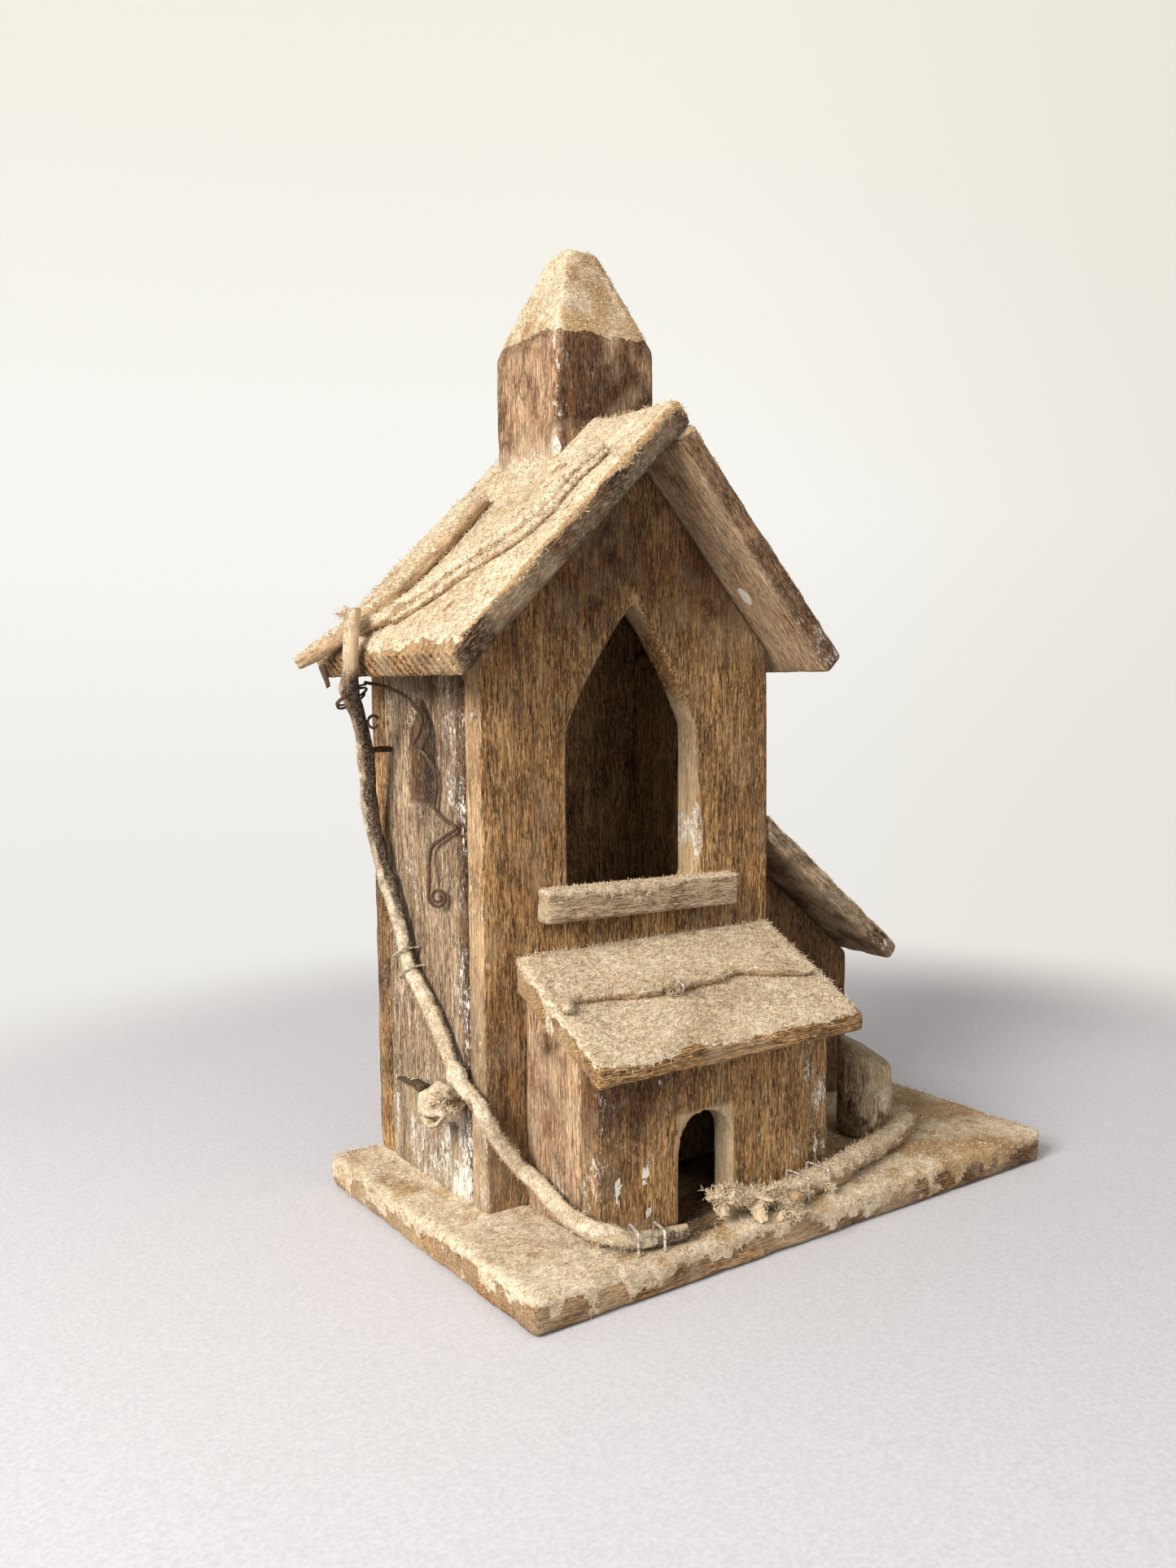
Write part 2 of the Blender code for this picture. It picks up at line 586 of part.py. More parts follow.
def make_main_vine():
    vine = stem("main_vine", smooth_path(MAIN_VINE, 4), VINE_RADIUS, VINE_RADIUS)
    give_material(vine, BARK)
    knot = stem("vine_knot", smooth_path(KNOT), *KNOT_RADII)
    give_material(knot, STEM_PALE)
    shoot = stem("vine_side_shoot", smooth_path(SIDE_SHOOT), *SIDE_SHOOT_RADII)
    give_material(shoot, BARK)
    peg = rod("vine_peg", (TOWER_LEFT - GAP, PEG_START_Y, PEG_END[2]), PEG_END, PEG_RADIUS, 12)
    give_material(peg, BARK)


def make_tendril():
    path = smooth_path(TENDRIL, 4)
    across = Vector((*SPIRAL_ACROSS, 0.0))
    middle = Vector(TENDRIL[-1]) + across * SPIRAL_RADII[0]
    steps = 24
    for step in range(1, steps + 1):
        share = step / steps
        angle = 2 * math.pi * SPIRAL_TURNS * share
        radius = SPIRAL_RADII[0] + (SPIRAL_RADII[1] - SPIRAL_RADII[0]) * share
        path.append(middle - across * radius * math.cos(angle) - Vector((0.0, 0.0, radius * math.sin(angle))))
    give_material(stem("tendril", path, TENDRIL_RADIUS, TENDRIL_RADIUS), BARK)


def make_eave_curls():
    """Dry curls at the eave: a loose coil round the vine and a small open ring beside it."""
    steps = 34
    coil = []
    for step in range(steps + 1):
        angle = 2 * math.pi * COIL_TURNS * step / steps
        coil.append((COIL_MIDDLE[0] + COIL_RADIUS * math.cos(angle),
                     COIL_MIDDLE[1] + COIL_RADIUS * math.sin(angle),
                     COIL_MIDDLE[2] + COIL_PITCH * (step / steps - 0.5) * COIL_TURNS))
    give_material(stem("eave_coil", coil, WIRE, WIRE), BARK)
    steps = 14
    ring = []
    for step in range(steps + 1):
        angle = math.radians(30 + 300 * step / steps)
        ring.append((SMALL_CURL_MIDDLE[0] + SMALL_CURL_RADIUS * math.cos(angle), SMALL_CURL_MIDDLE[1],
                     SMALL_CURL_MIDDLE[2] + SMALL_CURL_RADIUS * math.sin(angle)))
    give_material(stem("small_curl", ring, WIRE, WIRE), BARK)
    shoot = stem("hanging_shoot", smooth_path(HANGING_SHOOT, 3), *HANGING_SHOOT_RADII)
    give_material(shoot, BARK)


def on_left_roof(places, radius):
    """Centre line of a stem lying on the left roof board: (distance down the slope, y) pairs."""
    points = []
    for along, y in places:
        x, z = left_roof(along, ROOF + radius + GAP)
        points.append((x, y, z))
    return points


def make_roof_twigs():
    front = stem("front_roof_twig", smooth_path(on_left_roof(FRONT_TWIG, FRONT_TWIG_RADIUS), 4),
                 FRONT_TWIG_RADIUS, FRONT_TWIG_RADIUS * 0.8)
    give_material(front, WOOD_DUSTY)
    rear = stem("rear_roof_twig", smooth_path(on_left_roof(REAR_TWIG, REAR_TWIG_RADIUS), 4),
                REAR_TWIG_RADIUS, REAR_TWIG_RADIUS * 0.7)
    give_material(rear, STEM_PALE)


def on_porch_roof(places, radius):
    lift = (radius + GAP) / math.cos(math.atan2(PORCH_ROOF_BACK_Z[1] - PORCH_ROOF_FRONT_Z[1],
                                                TOWER_FRONT - PORCH_ROOF_FRONT))
    return [(x, y, porch_roof_top(y) + lift) for x, y in places]


def make_porch_twigs():
    for name, places in (("porch_twig_left", PORCH_TWIG_LEFT), ("porch_twig_right", PORCH_TWIG_RIGHT)):
        path = smooth_path(on_porch_roof(places, PORCH_TWIG_RADIUS), 4)
        give_material(stem(name, path, PORCH_TWIG_RADIUS, PORCH_TWIG_RADIUS), WOOD_DUSTY)


def make_base_branch():
    path = smooth_path([(x, y, BRANCH_Z) for x, y in BRANCH], 4)
    branch = stem("base_branch", path, BRANCH_RADIUS, BRANCH_RADIUS * 0.9)
    give_material(branch, STEM_PALE)
    reach = BRANCH_RADIUS + GAP
    stub = rod("branch_stub", (STUB_X, STUB_Y - reach, BRANCH_Z),
               (STUB_X, STUB_Y - reach - STUB_LENGTH, BRANCH_Z), STUB_RADIUS)
    give_material(stub, STEM_PALE)


def staple(name, middle, along, away, stem_radius, surface):
    """A wire staple bridging a stem.

    middle is on the stem's centre line, along is the stem's direction, away points from the
    board, and surface is how far the board lies below the centre line.
    """
    away = Vector(away).normalized()
    across = Vector(along).cross(away).normalized()
    middle = Vector(middle)
    reach = stem_radius + GAP + WIRE
    leg = surface - GAP
    path = [middle - across * reach - away * leg]
    steps = 10
    for step in range(steps + 1):
        angle = math.pi * step / steps
        path.append(middle - across * reach * math.cos(angle) + away * reach * math.sin(angle))
    path.append(middle + across * reach - away * leg)
    give_material(stem(name, path, WIRE, WIRE), STEEL, 0.35, 1.0)


def make_staples():
    number = 0
    for places, away in ((WALL_STAPLES, LEFTWARD), (FRONT_STAPLES, UPWARD)):
        for middle, along, surface in places:
            number += 1
            staple(f"vine_staple_{number}", middle, along, away, VINE_RADIUS, surface)
    for number, (x, y) in enumerate(BRANCH_STAPLES, 1):
        staple(f"branch_staple_{number}", (x, y, BRANCH_Z), BRANCH_STAPLE_ALONG, UPWARD, BRANCH_RADIUS,
               BRANCH_RADIUS + GAP)
    middle = on_porch_roof([PORCH_STAPLE], PORCH_TWIG_RADIUS)[0]
    staple("porch_staple", middle, PORCH_STAPLE_ALONG, PORCH_ROOF_NORMAL, PORCH_TWIG_RADIUS,
           PORCH_TWIG_RADIUS + GAP)


make_base()
make_tower()
make_corner_brad()
make_main_roof()
make_steeple()
make_perch()
make_porch()
make_porch_roof()
make_annex()
make_stump()
make_main_vine()
make_tendril()
make_eave_curls()
make_roof_twigs()
make_porch_twigs()
make_base_branch()
make_staples()
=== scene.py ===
"""Looks for the rustic church birdhouse: worn sawn boards, fibrous dust felt, dry vine stems.

Lengths are in millimetres, and MM turns them into metres. The camera, lights, floor and bumps are in metres.
"""
import math

import bpy
import numpy as np
from mathutils import Matrix, Vector


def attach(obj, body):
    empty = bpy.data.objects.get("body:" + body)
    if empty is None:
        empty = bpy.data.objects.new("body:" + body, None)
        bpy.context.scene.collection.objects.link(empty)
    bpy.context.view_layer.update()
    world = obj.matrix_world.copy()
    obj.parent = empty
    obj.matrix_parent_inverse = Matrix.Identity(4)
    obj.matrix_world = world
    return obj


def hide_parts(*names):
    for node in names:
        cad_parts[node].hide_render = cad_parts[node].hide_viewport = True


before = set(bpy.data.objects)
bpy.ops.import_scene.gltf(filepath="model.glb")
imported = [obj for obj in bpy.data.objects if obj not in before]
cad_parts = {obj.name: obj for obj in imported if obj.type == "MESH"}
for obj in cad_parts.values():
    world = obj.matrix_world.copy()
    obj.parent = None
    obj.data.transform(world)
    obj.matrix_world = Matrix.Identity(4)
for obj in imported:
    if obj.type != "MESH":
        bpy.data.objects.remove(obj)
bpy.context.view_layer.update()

MM = 0.001

# Camera, in metres and degrees
CAMERA_PLACE = (-0.24495, -0.29737, 0.15143)
CAMERA_YAW = 34.834              # from +Y towards +X
CAMERA_PITCH = -4.612
CAMERA_ROLL = -0.5688
CAMERA_LENS = 29.39
SENSOR = 36.0

# Places on the house, as in part.py
RIDGE_X = -29.4
RIDGE_Z = 214.2
LEFT_PITCH = math.radians(43.6)
RIGHT_PITCH = math.radians(47.4)
ROOF = 7.6
TOWER_LEFT = -80.0
TOWER_RIGHT = 20.0
TOWER_FRONT = -12.0
TOWER_BACK = 53.0
STEEPLE_X = -26.0
STEEPLE_Y = 22.5
STEEPLE_HALF = 17.0
STEEPLE_EAVE = 247.0
PORCH_LEFT = -68.0
PORCH_RIGHT = 12.0
PORCH_FRONT = -45.5
PORCH_EAVE_Y = -57.0
PORCH_EAVE_Z = 59.8
PORCH_ROOF_DEPTH = 44.7
PORCH_ROOF_RISE = 19.2
PORCH_PITCH = math.radians(23.3)
ANNEX_PITCH = math.radians(39.3)
BASE_TOP = 9.5

# Added to a piece's own seed, so that its masks differ
DUST, PAINT, STAIN, PALE = 21, 41, 51, 61


def srgb(red, green, blue):
    """A colour given as screen values from 0 to 255, as linear light."""
    linear = []
    for value in (red, green, blue):
        share = value / 255
        linear.append(share / 12.92 if share <= 0.04045 else ((share + 0.055) / 1.055) ** 2.4)
    return (*linear, 1.0)


# ---------------------------------------------------------------- noise in numpy

def lattice(cells, seed):
    """A fixed random number from -1 to 1 for each whole-numbered cell."""
    x, y, z = (cells[:, axis].astype(np.uint64) for axis in range(3))
    mixed = x * np.uint64(374761393) + y * np.uint64(668265263) + z * np.uint64(2246822519)
    mixed = mixed + np.uint64(seed * 3266489917 + 12345)
    mixed = (mixed ^ (mixed >> np.uint64(15))) * np.uint64(2246822519)
    mixed = (mixed ^ (mixed >> np.uint64(13))) * np.uint64(3266489917)
    mixed = mixed ^ (mixed >> np.uint64(16))
    return (mixed & np.uint64(0xFFFFFF)).astype(float) / 0x7FFFFF - 1.0


def noise(places, cell, seed):
    """Smooth noise from -1 to 1; cell is the size of its lumps, one number or one per axis."""
    scaled = places / np.asarray(cell, float) + 1000.0
    floor = np.floor(scaled).astype(np.int64)
    part = scaled - floor
    part = part * part * (3 - 2 * part)
    total = np.zeros(len(places))
    for corner in ((i, j, k) for i in (0, 1) for j in (0, 1) for k in (0, 1)):
        weight = np.ones(len(places))
        for axis in range(3):
            weight = weight * (part[:, axis] if corner[axis] else 1 - part[:, axis])
        total += weight * lattice(floor + np.array(corner), seed)
    return total


def rough_noise(places, cell, seed, layers=3):
    """Noise with smaller and weaker layers on top."""
    total = 0.0
    size = np.asarray(cell, float)
    for layer in range(layers):
        total = total + noise(places, size, seed + 31 * layer) / 1.8 ** layer
        size = size / 2.1
    return total


def ease(value, low, high):
    """0 below low, 1 above high, and smooth between."""
    share = np.clip((value - low) / (high - low), 0, 1)
    return share * share * (3 - 2 * share)


# ---------------------------------------------------------------- mesh tools

def new_object(name, data):
    """An object with this mesh, light or camera, in the scene."""
    obj = bpy.data.objects.new(name, data)
    bpy.context.scene.collection.objects.link(obj)
    return obj


def places_of(mesh):
    """The mesh's vertices in millimetres, one per row."""
    flat = np.empty(len(mesh.vertices) * 3, np.float32)
    mesh.vertices.foreach_get("co", flat)
    return flat.reshape(-1, 3).astype(float) / MM


def put_places(mesh, places):
    mesh.vertices.foreach_set("co", (places * MM).astype(np.float32).ravel())
    mesh.update()


def normals_of(mesh):
    flat = np.empty(len(mesh.vertices) * 3, np.float32)
    mesh.vertex_normals.foreach_get("vector", flat)
    return flat.reshape(-1, 3).astype(float)


def put_masks(mesh, *masks):
    """Dust, paint, stain and pale, each from 0 to 1, at every vertex for the shader. On some pieces the stain
    channel also carries painted shade, and the pale channel painted light.
    """
    layer = mesh.attributes.new("masks", "FLOAT_COLOR", "POINT")
    values = np.zeros((len(mesh.vertices), 4), np.float32)
    for channel, mask in enumerate(masks):
        values[:, channel] = np.clip(mask, 0, 3)
    layer.data.foreach_set("color", values.ravel())


def remeshed(node, name, voxel):
    """The CAD node's shape as an even grid of small faces."""
    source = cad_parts[node]
    obj = new_object(name, source.data.copy())
    obj.data.materials.clear()
    weld = obj.modifiers.new("weld", "WELD")
    weld.merge_threshold = 0.00001
    grid = obj.modifiers.new("grid", "REMESH")
    grid.mode = "VOXEL"
    grid.voxel_size = voxel * MM
    graph = bpy.context.evaluated_depsgraph_get()
    mesh = bpy.data.meshes.new_from_object(obj.evaluated_get(graph))
    obj.modifiers.clear()
    old = obj.data
    obj.data = mesh
    bpy.data.meshes.remove(old)
    return obj


def relaxed(places, ends, rounds):
    """Every place moved to the middle of its neighbours, rounds times over."""
    count = len(places)
    first, second = ends.T
    degree = np.bincount(first, minlength=count) + np.bincount(second, minlength=count)
    degree = np.maximum(degree, 1)
    for _ in range(rounds):
        total = np.empty_like(places)
        for axis in range(3):
            total[:, axis] = (np.bincount(first, places[second, axis], count)
                              + np.bincount(second, places[first, axis], count))
        places = total / degree[:, None]
    return places


def turned(places, angle):
    """Places turned about Y, so that a roof board's slope lies along X."""
    cosine, sine = math.cos(angle), math.sin(angle)
    x, z = places[:, 0].copy(), places[:, 2].copy()
    out = places.copy()
    out[:, 0] = x * cosine - z * sine
    out[:, 2] = x * sine + z * cosine
    return out


def mask_values(makers, places, normals, seed):
    """Each maker's mask, or nothing where there is no maker."""
    return [maker(places, normals, seed) if maker else np.zeros(len(places)) for maker in makers]


def finish_piece(obj, material, slot, *nodes):
    """Gives a piece its material and hides the CAD nodes it stands for. slot is not used."""
    obj.data.materials.clear()
    obj.data.materials.append(material)
    obj.data.polygons.foreach_set("use_smooth", [True] * len(obj.data.polygons))
    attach(obj, "root")
    if nodes:
        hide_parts(*nodes)
    return obj


def worn_board(node, slot, material, seed, grain=(1.6, 1.6, 22.0), turn=0.0, voxel=0.9, groove=0.16,
               wear=0.45, felt=0.0, cover=None, paint=None, stain_and_shade=None, pale=None, heap=None, carve=None):
    """A sawn board: rounded and chipped edges, grain furrows, and a felt of dust where cover says."""
    obj = remeshed(node, node + "_wood", voxel)
    mesh = obj.data
    places = places_of(mesh)
    ends = np.empty(len(mesh.edges) * 2, np.int32)
    mesh.edges.foreach_get("vertices", ends)
    ends = ends.reshape(-1, 2)

    slight = relaxed(places, ends, 2)
    much = relaxed(slight, ends, 9)
    chips = ease(rough_noise(places, 9.0, seed) + 0.35 * noise(places, 2.6, seed + 5), 0.0, 0.9)
    shape = slight + (much - slight) * (chips * wear)[:, None]
    put_places(mesh, relaxed(much, ends, 12))
    soft_normals = normals_of(mesh)
    put_places(mesh, shape)
    normals = normals_of(mesh)

    straight = turned(places, turn)
    furrows = noise(straight, grain, seed + 7) + 0.6 * noise(straight, np.array(grain) / 2.3, seed + 8)
    waves = rough_noise(straight, np.array(grain) * 4.0, seed + 9, 2)
    depth = -groove * np.clip(furrows, -1, 0.4) ** 2 * 1.6 + 0.12 * waves
    masks = mask_values((cover, paint, stain_and_shade, pale), places, soft_normals, seed)
    dust = masks[0]
    thick = relaxed(np.stack([dust, dust, dust], axis=1), ends, 5)[:, 0] ** 2
    lumps = 0.7 + 0.22 * rough_noise(places, 3.2, seed + 11) + 0.14 * noise(places, 1.4, seed + 12)
    layer = felt * thick * np.clip(lumps, 0.1, 1.6)
    if heap:
        layer = layer + heap(places) * thick
    cuts = carve(places, soft_normals) if carve else np.zeros(len(places))
    masks[0] = dust * (1 - ease(cuts, 0.1, 0.3))
    # The carved cuts are darkened too: painted shade in the grooves.
    masks[2] = masks[2] + 1.6 * ease(cuts, 0.2, 0.6)
    put_places(mesh, shape + normals * (depth * (1 - thick) + layer - cuts)[:, None])
    put_masks(mesh, *masks)
    return finish_piece(obj, material, slot, node)


# ---------------------------------------------------------------- stems

def smooth_path(points, per_span=6):
    """Points along a smooth curve through the given ones (Catmull-Rom)."""
    knots = [Vector(point) for point in points]
    knots = [2 * knots[0] - knots[1]] + knots + [2 * knots[-1] - knots[-2]]
    path = []
    for a, b, c, d in zip(knots, knots[1:], knots[2:], knots[3:]):
        for step in range(per_span):
            t = step / per_span
            path.append(0.5 * (2 * b + (c - a) * t + (2 * a - 5 * b + 4 * c - d) * t ** 2
                               + (3 * b - a - 3 * c + d) * t ** 3))
    path.append(knots[-2])
    return path


def even_points(path, step):
    """The path's points again, evenly spaced, with the distance along at each."""
    line = np.array([list(point) for point in path])
    lengths = np.concatenate(([0.0], np.cumsum(np.linalg.norm(np.diff(line, axis=0), axis=1))))
    count = max(4, int(lengths[-1] / step) + 1)
    along = np.linspace(0.0, lengths[-1], count)
    even = np.stack([np.interp(along, lengths, line[:, axis]) for axis in range(3)], axis=1)
    return even, along


def carried_frames(line):
    """Two directions across the line at each point, carried along it without twisting."""
    tangents = np.gradient(line, axis=0)
    tangents /= np.linalg.norm(tangents, axis=1)[:, None]
    start = np.cross(tangents[0], (0.0, 0.0, 1.0))
    if np.linalg.norm(start) < 0.2:
        start = np.cross(tangents[0], (0.0, 1.0, 0.0))
    across = [start / np.linalg.norm(start)]
    for tangent in tangents[1:]:
        side = across[-1] - tangent * np.dot(across[-1], tangent)
        across.append(side / np.linalg.norm(side))
    across = np.array(across)
    return tangents, across, np.cross(tangents, across)


def stem_mesh(name, path, radii, seed, sides=18, step=0.6, ridge=0.16, lump=0.14, flat=1.0, swell=()):
    """A stem with ridges along it. radii are spaced evenly along the path.

    flat squeezes its section in one direction; swell is (share along, extra radius, width) bulges.
    """
    line, along = even_points(path, step)
    tangents, across, over = carried_frames(line)
    share = along / along[-1]
    radius = np.interp(share, np.linspace(0, 1, len(radii)), radii)
    for where, extra, width in swell:
        radius = radius + extra * np.exp(-((along - where * along[-1]) / width) ** 2)
    angles = np.linspace(0, 2 * math.pi, sides, endpoint=False)
    rings = len(line)
    ring_radius = np.repeat(radius, sides)
    angle = np.tile(angles, rings)
    straight = np.stack([np.cos(angle) * ring_radius, np.sin(angle) * ring_radius,
                         np.repeat(along, sides)], axis=1)
    mean = float(np.mean(radii))
    fine = noise(straight, (0.45 * mean, 0.45 * mean, 4.5 * mean), seed)
    coarse = rough_noise(straight, (1.3 * mean, 1.3 * mean, 2.6 * mean), seed + 3, 2)
    actual = ring_radius * (1 + ridge * fine + lump * coarse)
    places = (np.repeat(line, sides, axis=0)
              + np.repeat(across, sides, axis=0) * (np.cos(angle) * actual)[:, None]
              + np.repeat(over, sides, axis=0) * (np.sin(angle) * actual * flat)[:, None])
    rag = noise(straight, 0.6 * mean, seed + 6) * 0.35 * mean
    for ring, sign in ((0, -1.0), (rings - 1, 1.0)):
        rows = slice(ring * sides, (ring + 1) * sides)
        places[rows] += tangents[ring] * (rag[rows] * sign)[:, None]
    tips = np.array([line[0] + tangents[0] * 0.2 * mean, line[-1] - tangents[-1] * 0.2 * mean])
    corners = np.arange(sides)
    following = (corners + 1) % sides
    faces = []
    for ring in range(rings - 1):
        low = ring * sides
        high = low + sides
        faces += np.stack([low + corners, low + following, high + following, high + corners], 1).tolist()
    first_tip = rings * sides
    last = (rings - 1) * sides
    faces += [(first_tip, int(b), int(a)) for a, b in zip(corners, following)]
    faces += [(first_tip + 1, last + int(a), last + int(b)) for a, b in zip(corners, following)]
    mesh = bpy.data.meshes.new(name)
    mesh.from_pydata((np.vstack([places, tips]) * MM).tolist(), [], faces)
    mesh.update()
    layer = mesh.attributes.new("straight", "FLOAT_VECTOR", "POINT")
    ends = np.array([[0.0, 0.0, 0.0], [0.0, 0.0, along[-1]]])
    layer.data.foreach_set("vector", (np.vstack([straight, ends]) + 50.0).astype(np.float32).ravel())
    return mesh


def stem(name, path, radii, seed, slot, material, nodes=(), cover=None, paint=None, stain_and_shade=None,
         felt=0.2, **shape):
    """A stem with its masks, raised by the dust on it. nodes are the CAD nodes it stands for."""
    mesh = stem_mesh(name, path, radii, seed, **shape)
    obj = new_object(name, mesh)
    places = places_of(mesh)
    normals = normals_of(mesh)
    masks = mask_values((cover, paint, stain_and_shade), places, normals, seed)
    lumps = np.clip(0.6 + 0.5 * rough_noise(places, 1.6, seed + 11), 0.1, 1.6)
    put_places(mesh, places + normals * (felt * masks[0] * lumps)[:, None])
    put_masks(mesh, *masks)
    return finish_piece(obj, material, slot, *nodes)


# ---------------------------------------------------------------- fibres

THREAD_SPANS = 3
THREAD_CURL = 0.6


def fibre_mesh(name, roots, headings, normals, lengths, radius, rng):
    """Thin three-sided threads, pointed at both ends, each bending its own way."""
    count = len(roots)
    headings = headings / np.linalg.norm(headings, axis=1)[:, None]
    bend = rng.normal(0.0, THREAD_CURL, count)
    lift = rng.normal(0.0, THREAD_CURL * 0.5, count)
    points = [roots]
    heading = headings
    step = (lengths / THREAD_SPANS)[:, None]
    for _ in range(THREAD_SPANS):
        sideways = np.cross(normals, heading)
        heading = heading + sideways * bend[:, None] + normals * lift[:, None]
        heading = heading / np.linalg.norm(heading, axis=1)[:, None]
        points.append(points[-1] + heading * step)
    places = [points[0]]
    for inner in points[1:-1]:
        side = np.cross(heading, normals)
        side = side / np.maximum(np.linalg.norm(side, axis=1), 0.001)[:, None]
        up = np.cross(side, heading)
        for turn in range(3):
            angle = 2 * math.pi * turn / 3
            places.append(inner + (side * math.cos(angle) + up * math.sin(angle)) * radius)
    places.append(points[-1])
    per = len(places)
    stacked = np.stack(places, axis=1).reshape(-1, 3)
    pattern = [(0, 1 + (t + 1) % 3, 1 + t) for t in range(3)]
    for ring in range(THREAD_SPANS - 2):
        low = 1 + 3 * ring
        pattern += [(low + t, low + (t + 1) % 3, low + 3 + (t + 1) % 3, low + 3 + t) for t in range(3)]
    last = 1 + 3 * (THREAD_SPANS - 2)
    pattern += [(per - 1, last + t, last + (t + 1) % 3) for t in range(3)]
    faces = []
    for start in range(0, count * per, per):
        for face in pattern:
            faces.append([start + corner for corner in face])
    mesh = bpy.data.meshes.new(name)
    mesh.from_pydata((stacked * MM).tolist(), [], faces)
    mesh.update()
    return mesh


def surface_points(obj, count, rng, low):
    """Random points of a piece where its dust mask is over low, with their normals."""
    mesh = obj.data
    mesh.calc_loop_triangles()
    corners = np.empty(len(mesh.loop_triangles) * 3, np.int32)
    mesh.loop_triangles.foreach_get("vertices", corners)
    corners = corners.reshape(-1, 3)
    places = places_of(mesh)
    values = np.empty(len(mesh.vertices) * 4, np.float32)
    mesh.attributes["masks"].data.foreach_get("color", values)
    dust = values.reshape(-1, 4)[:, 0]
    a, b, c = (places[corners[:, i]] for i in range(3))
    normal = np.cross(b - a, c - a)
    area = np.linalg.norm(normal, axis=1)
    normal = normal / np.maximum(area, 1e-9)[:, None]
    cover = dust[corners].mean(axis=1)
    weight = area * (cover > low)
    if weight.sum() <= 0:
        return np.zeros((0, 3)), np.zeros((0, 3))
    chosen = rng.choice(len(weight), size=count, p=weight / weight.sum())
    u, v = rng.random(count), rng.random(count)
    over = u + v > 1
    u[over], v[over] = 1 - u[over], 1 - v[over]
    at = a[chosen] + (b - a)[chosen] * u[:, None] + (c - a)[chosen] * v[:, None]
    return at, normal[chosen]


def fuzz(name, sources, count, seed, material, slot, length, radius=0.08, stand=0.14, low=0.5):
    """A coat of short curly threads over the dusty parts of the given pieces.

    stand is how far they rise from the surface, and low is the dust mask's level where they start.
    """
    rng = np.random.default_rng(seed)
    share = count // len(sources)
    roots, normals = [], []
    for source in sources:
        at, facing = surface_points(source, share, rng, low)
        roots.append(at)
        normals.append(facing)
    roots = np.vstack(roots)
    normals = np.vstack(normals)
    wild = rng.normal(0.0, 1.0, roots.shape)
    flat = wild - normals * np.sum(wild * normals, axis=1)[:, None]
    flat = flat / np.linalg.norm(flat, axis=1)[:, None]
    headings = flat + normals * np.abs(rng.normal(0.0, stand, len(roots)))[:, None]
    lengths = rng.uniform(*length, len(roots))
    roots = roots - normals * 0.05
    mesh = fibre_mesh(name, roots, headings, normals, lengths, radius, rng)
    return finish_piece(new_object(name, mesh), material, slot)


# ---------------------------------------------------------------- shader tools

def node(tree, kind, inputs=None, **settings):
    """Adds a shader node; inputs are sockets to link or plain values, by name or number."""
    made = tree.nodes.new(kind)
    for key, value in settings.items():
        setattr(made, key, value)
    for key, value in (inputs or {}).items():
        socket = made.inputs[key]
        if isinstance(value, bpy.types.NodeSocket):
            tree.links.new(value, socket)
        else:
            socket.default_value = value
    return made


def maths(tree, operation, first, second=0.0, clamp=False):
    """One arithmetic step on two values."""
    inputs = {0: first, 1: second}
    return node(tree, "ShaderNodeMath", inputs, operation=operation, use_clamp=clamp).outputs[0]


def weighted(tree, *terms):
    """The sum of (value, weight) pairs."""
    total = None
    for value, weight in terms:
        share = value if weight == 1 else maths(tree, "MULTIPLY", value, weight)
        total = share if total is None else maths(tree, "ADD", total, share)
    return total


def distance_from(tree, value, level):
    """How far the value is from a level: its lines of equal height, once ramped."""
    return maths(tree, "ABSOLUTE", maths(tree, "SUBTRACT", value, level))


def blended(tree, share, first, second, blend="MIX"):
    """The first colour with a share of the second."""
    made = node(tree, "ShaderNodeMix", {0: share, 6: first, 7: second}, data_type="RGBA", blend_type=blend)
    return made.outputs[2]


def between(tree, value, low, high, start=0.0, end=1.0):
    """value mapped smoothly from low..high to start..end."""
    made = node(tree, "ShaderNodeMapRange", {0: value, 1: low, 2: high, 3: start, 4: end},
                interpolation_type="SMOOTHSTEP")
    return made.outputs[0]


def ramp(tree, value, *stops):
    """A colour ramp; stops are (place, colour)."""
    made = node(tree, "ShaderNodeValToRGB", {0: value})
    elements = made.color_ramp.elements
    while len(elements) < len(stops):
        elements.new(0.5)
    for element, (place, colour) in zip(elements, stops):
        element.position = place
        element.color = colour
    return made.outputs[0]


def grain_noise(tree, coords, stretch, detail=4.0, roughness=0.6, distortion=0.0, shift=0.0):
    """Noise with lumps of the given size in millimetres: one number, or one for each axis."""
    scale = [1.0 / float(size) for size in np.broadcast_to(stretch, 3)]
    mapped = node(tree, "ShaderNodeMapping", {"Vector": coords, "Scale": scale,
                                              "Location": (shift, shift * 0.7, shift * 1.3)})
    made = node(tree, "ShaderNodeTexNoise", {"Vector": mapped.outputs[0], "Scale": 1.0, "Detail": detail,
                                             "Roughness": roughness, "Distortion": distortion})
    return made.outputs[0]


def start_material(name):
    """An empty material with one shader, linked to its output."""
    material = bpy.data.materials.new(name)
    material.use_nodes = True
    tree = material.node_tree
    tree.nodes.clear()
    output = node(tree, "ShaderNodeOutputMaterial")
    shader = node(tree, "ShaderNodeBsdfPrincipled")
    tree.links.new(shader.outputs[0], output.inputs[0])
    return material, tree, shader


def millimetres(tree, turn=0.0):
    """The piece's own coordinates in millimetres, turned about Y for a roof board."""
    place = node(tree, "ShaderNodeTexCoord").outputs["Object"]
    scaled = node(tree, "ShaderNodeMapping", {"Vector": place, "Scale": (1000.0, 1000.0, 1000.0),
                                              "Rotation": (0.0, -turn, 0.0)})
    return scaled.outputs[0]


def thread_lines(tree, coords, size, width, shift):
    """Thin curly lines, light on dark."""
    value = grain_noise(tree, coords, size, 2.0, 0.5, 1.6, shift)
    return between(tree, distance_from(tree, value, 0.5), 0.0, width, 1.0, 0.0)


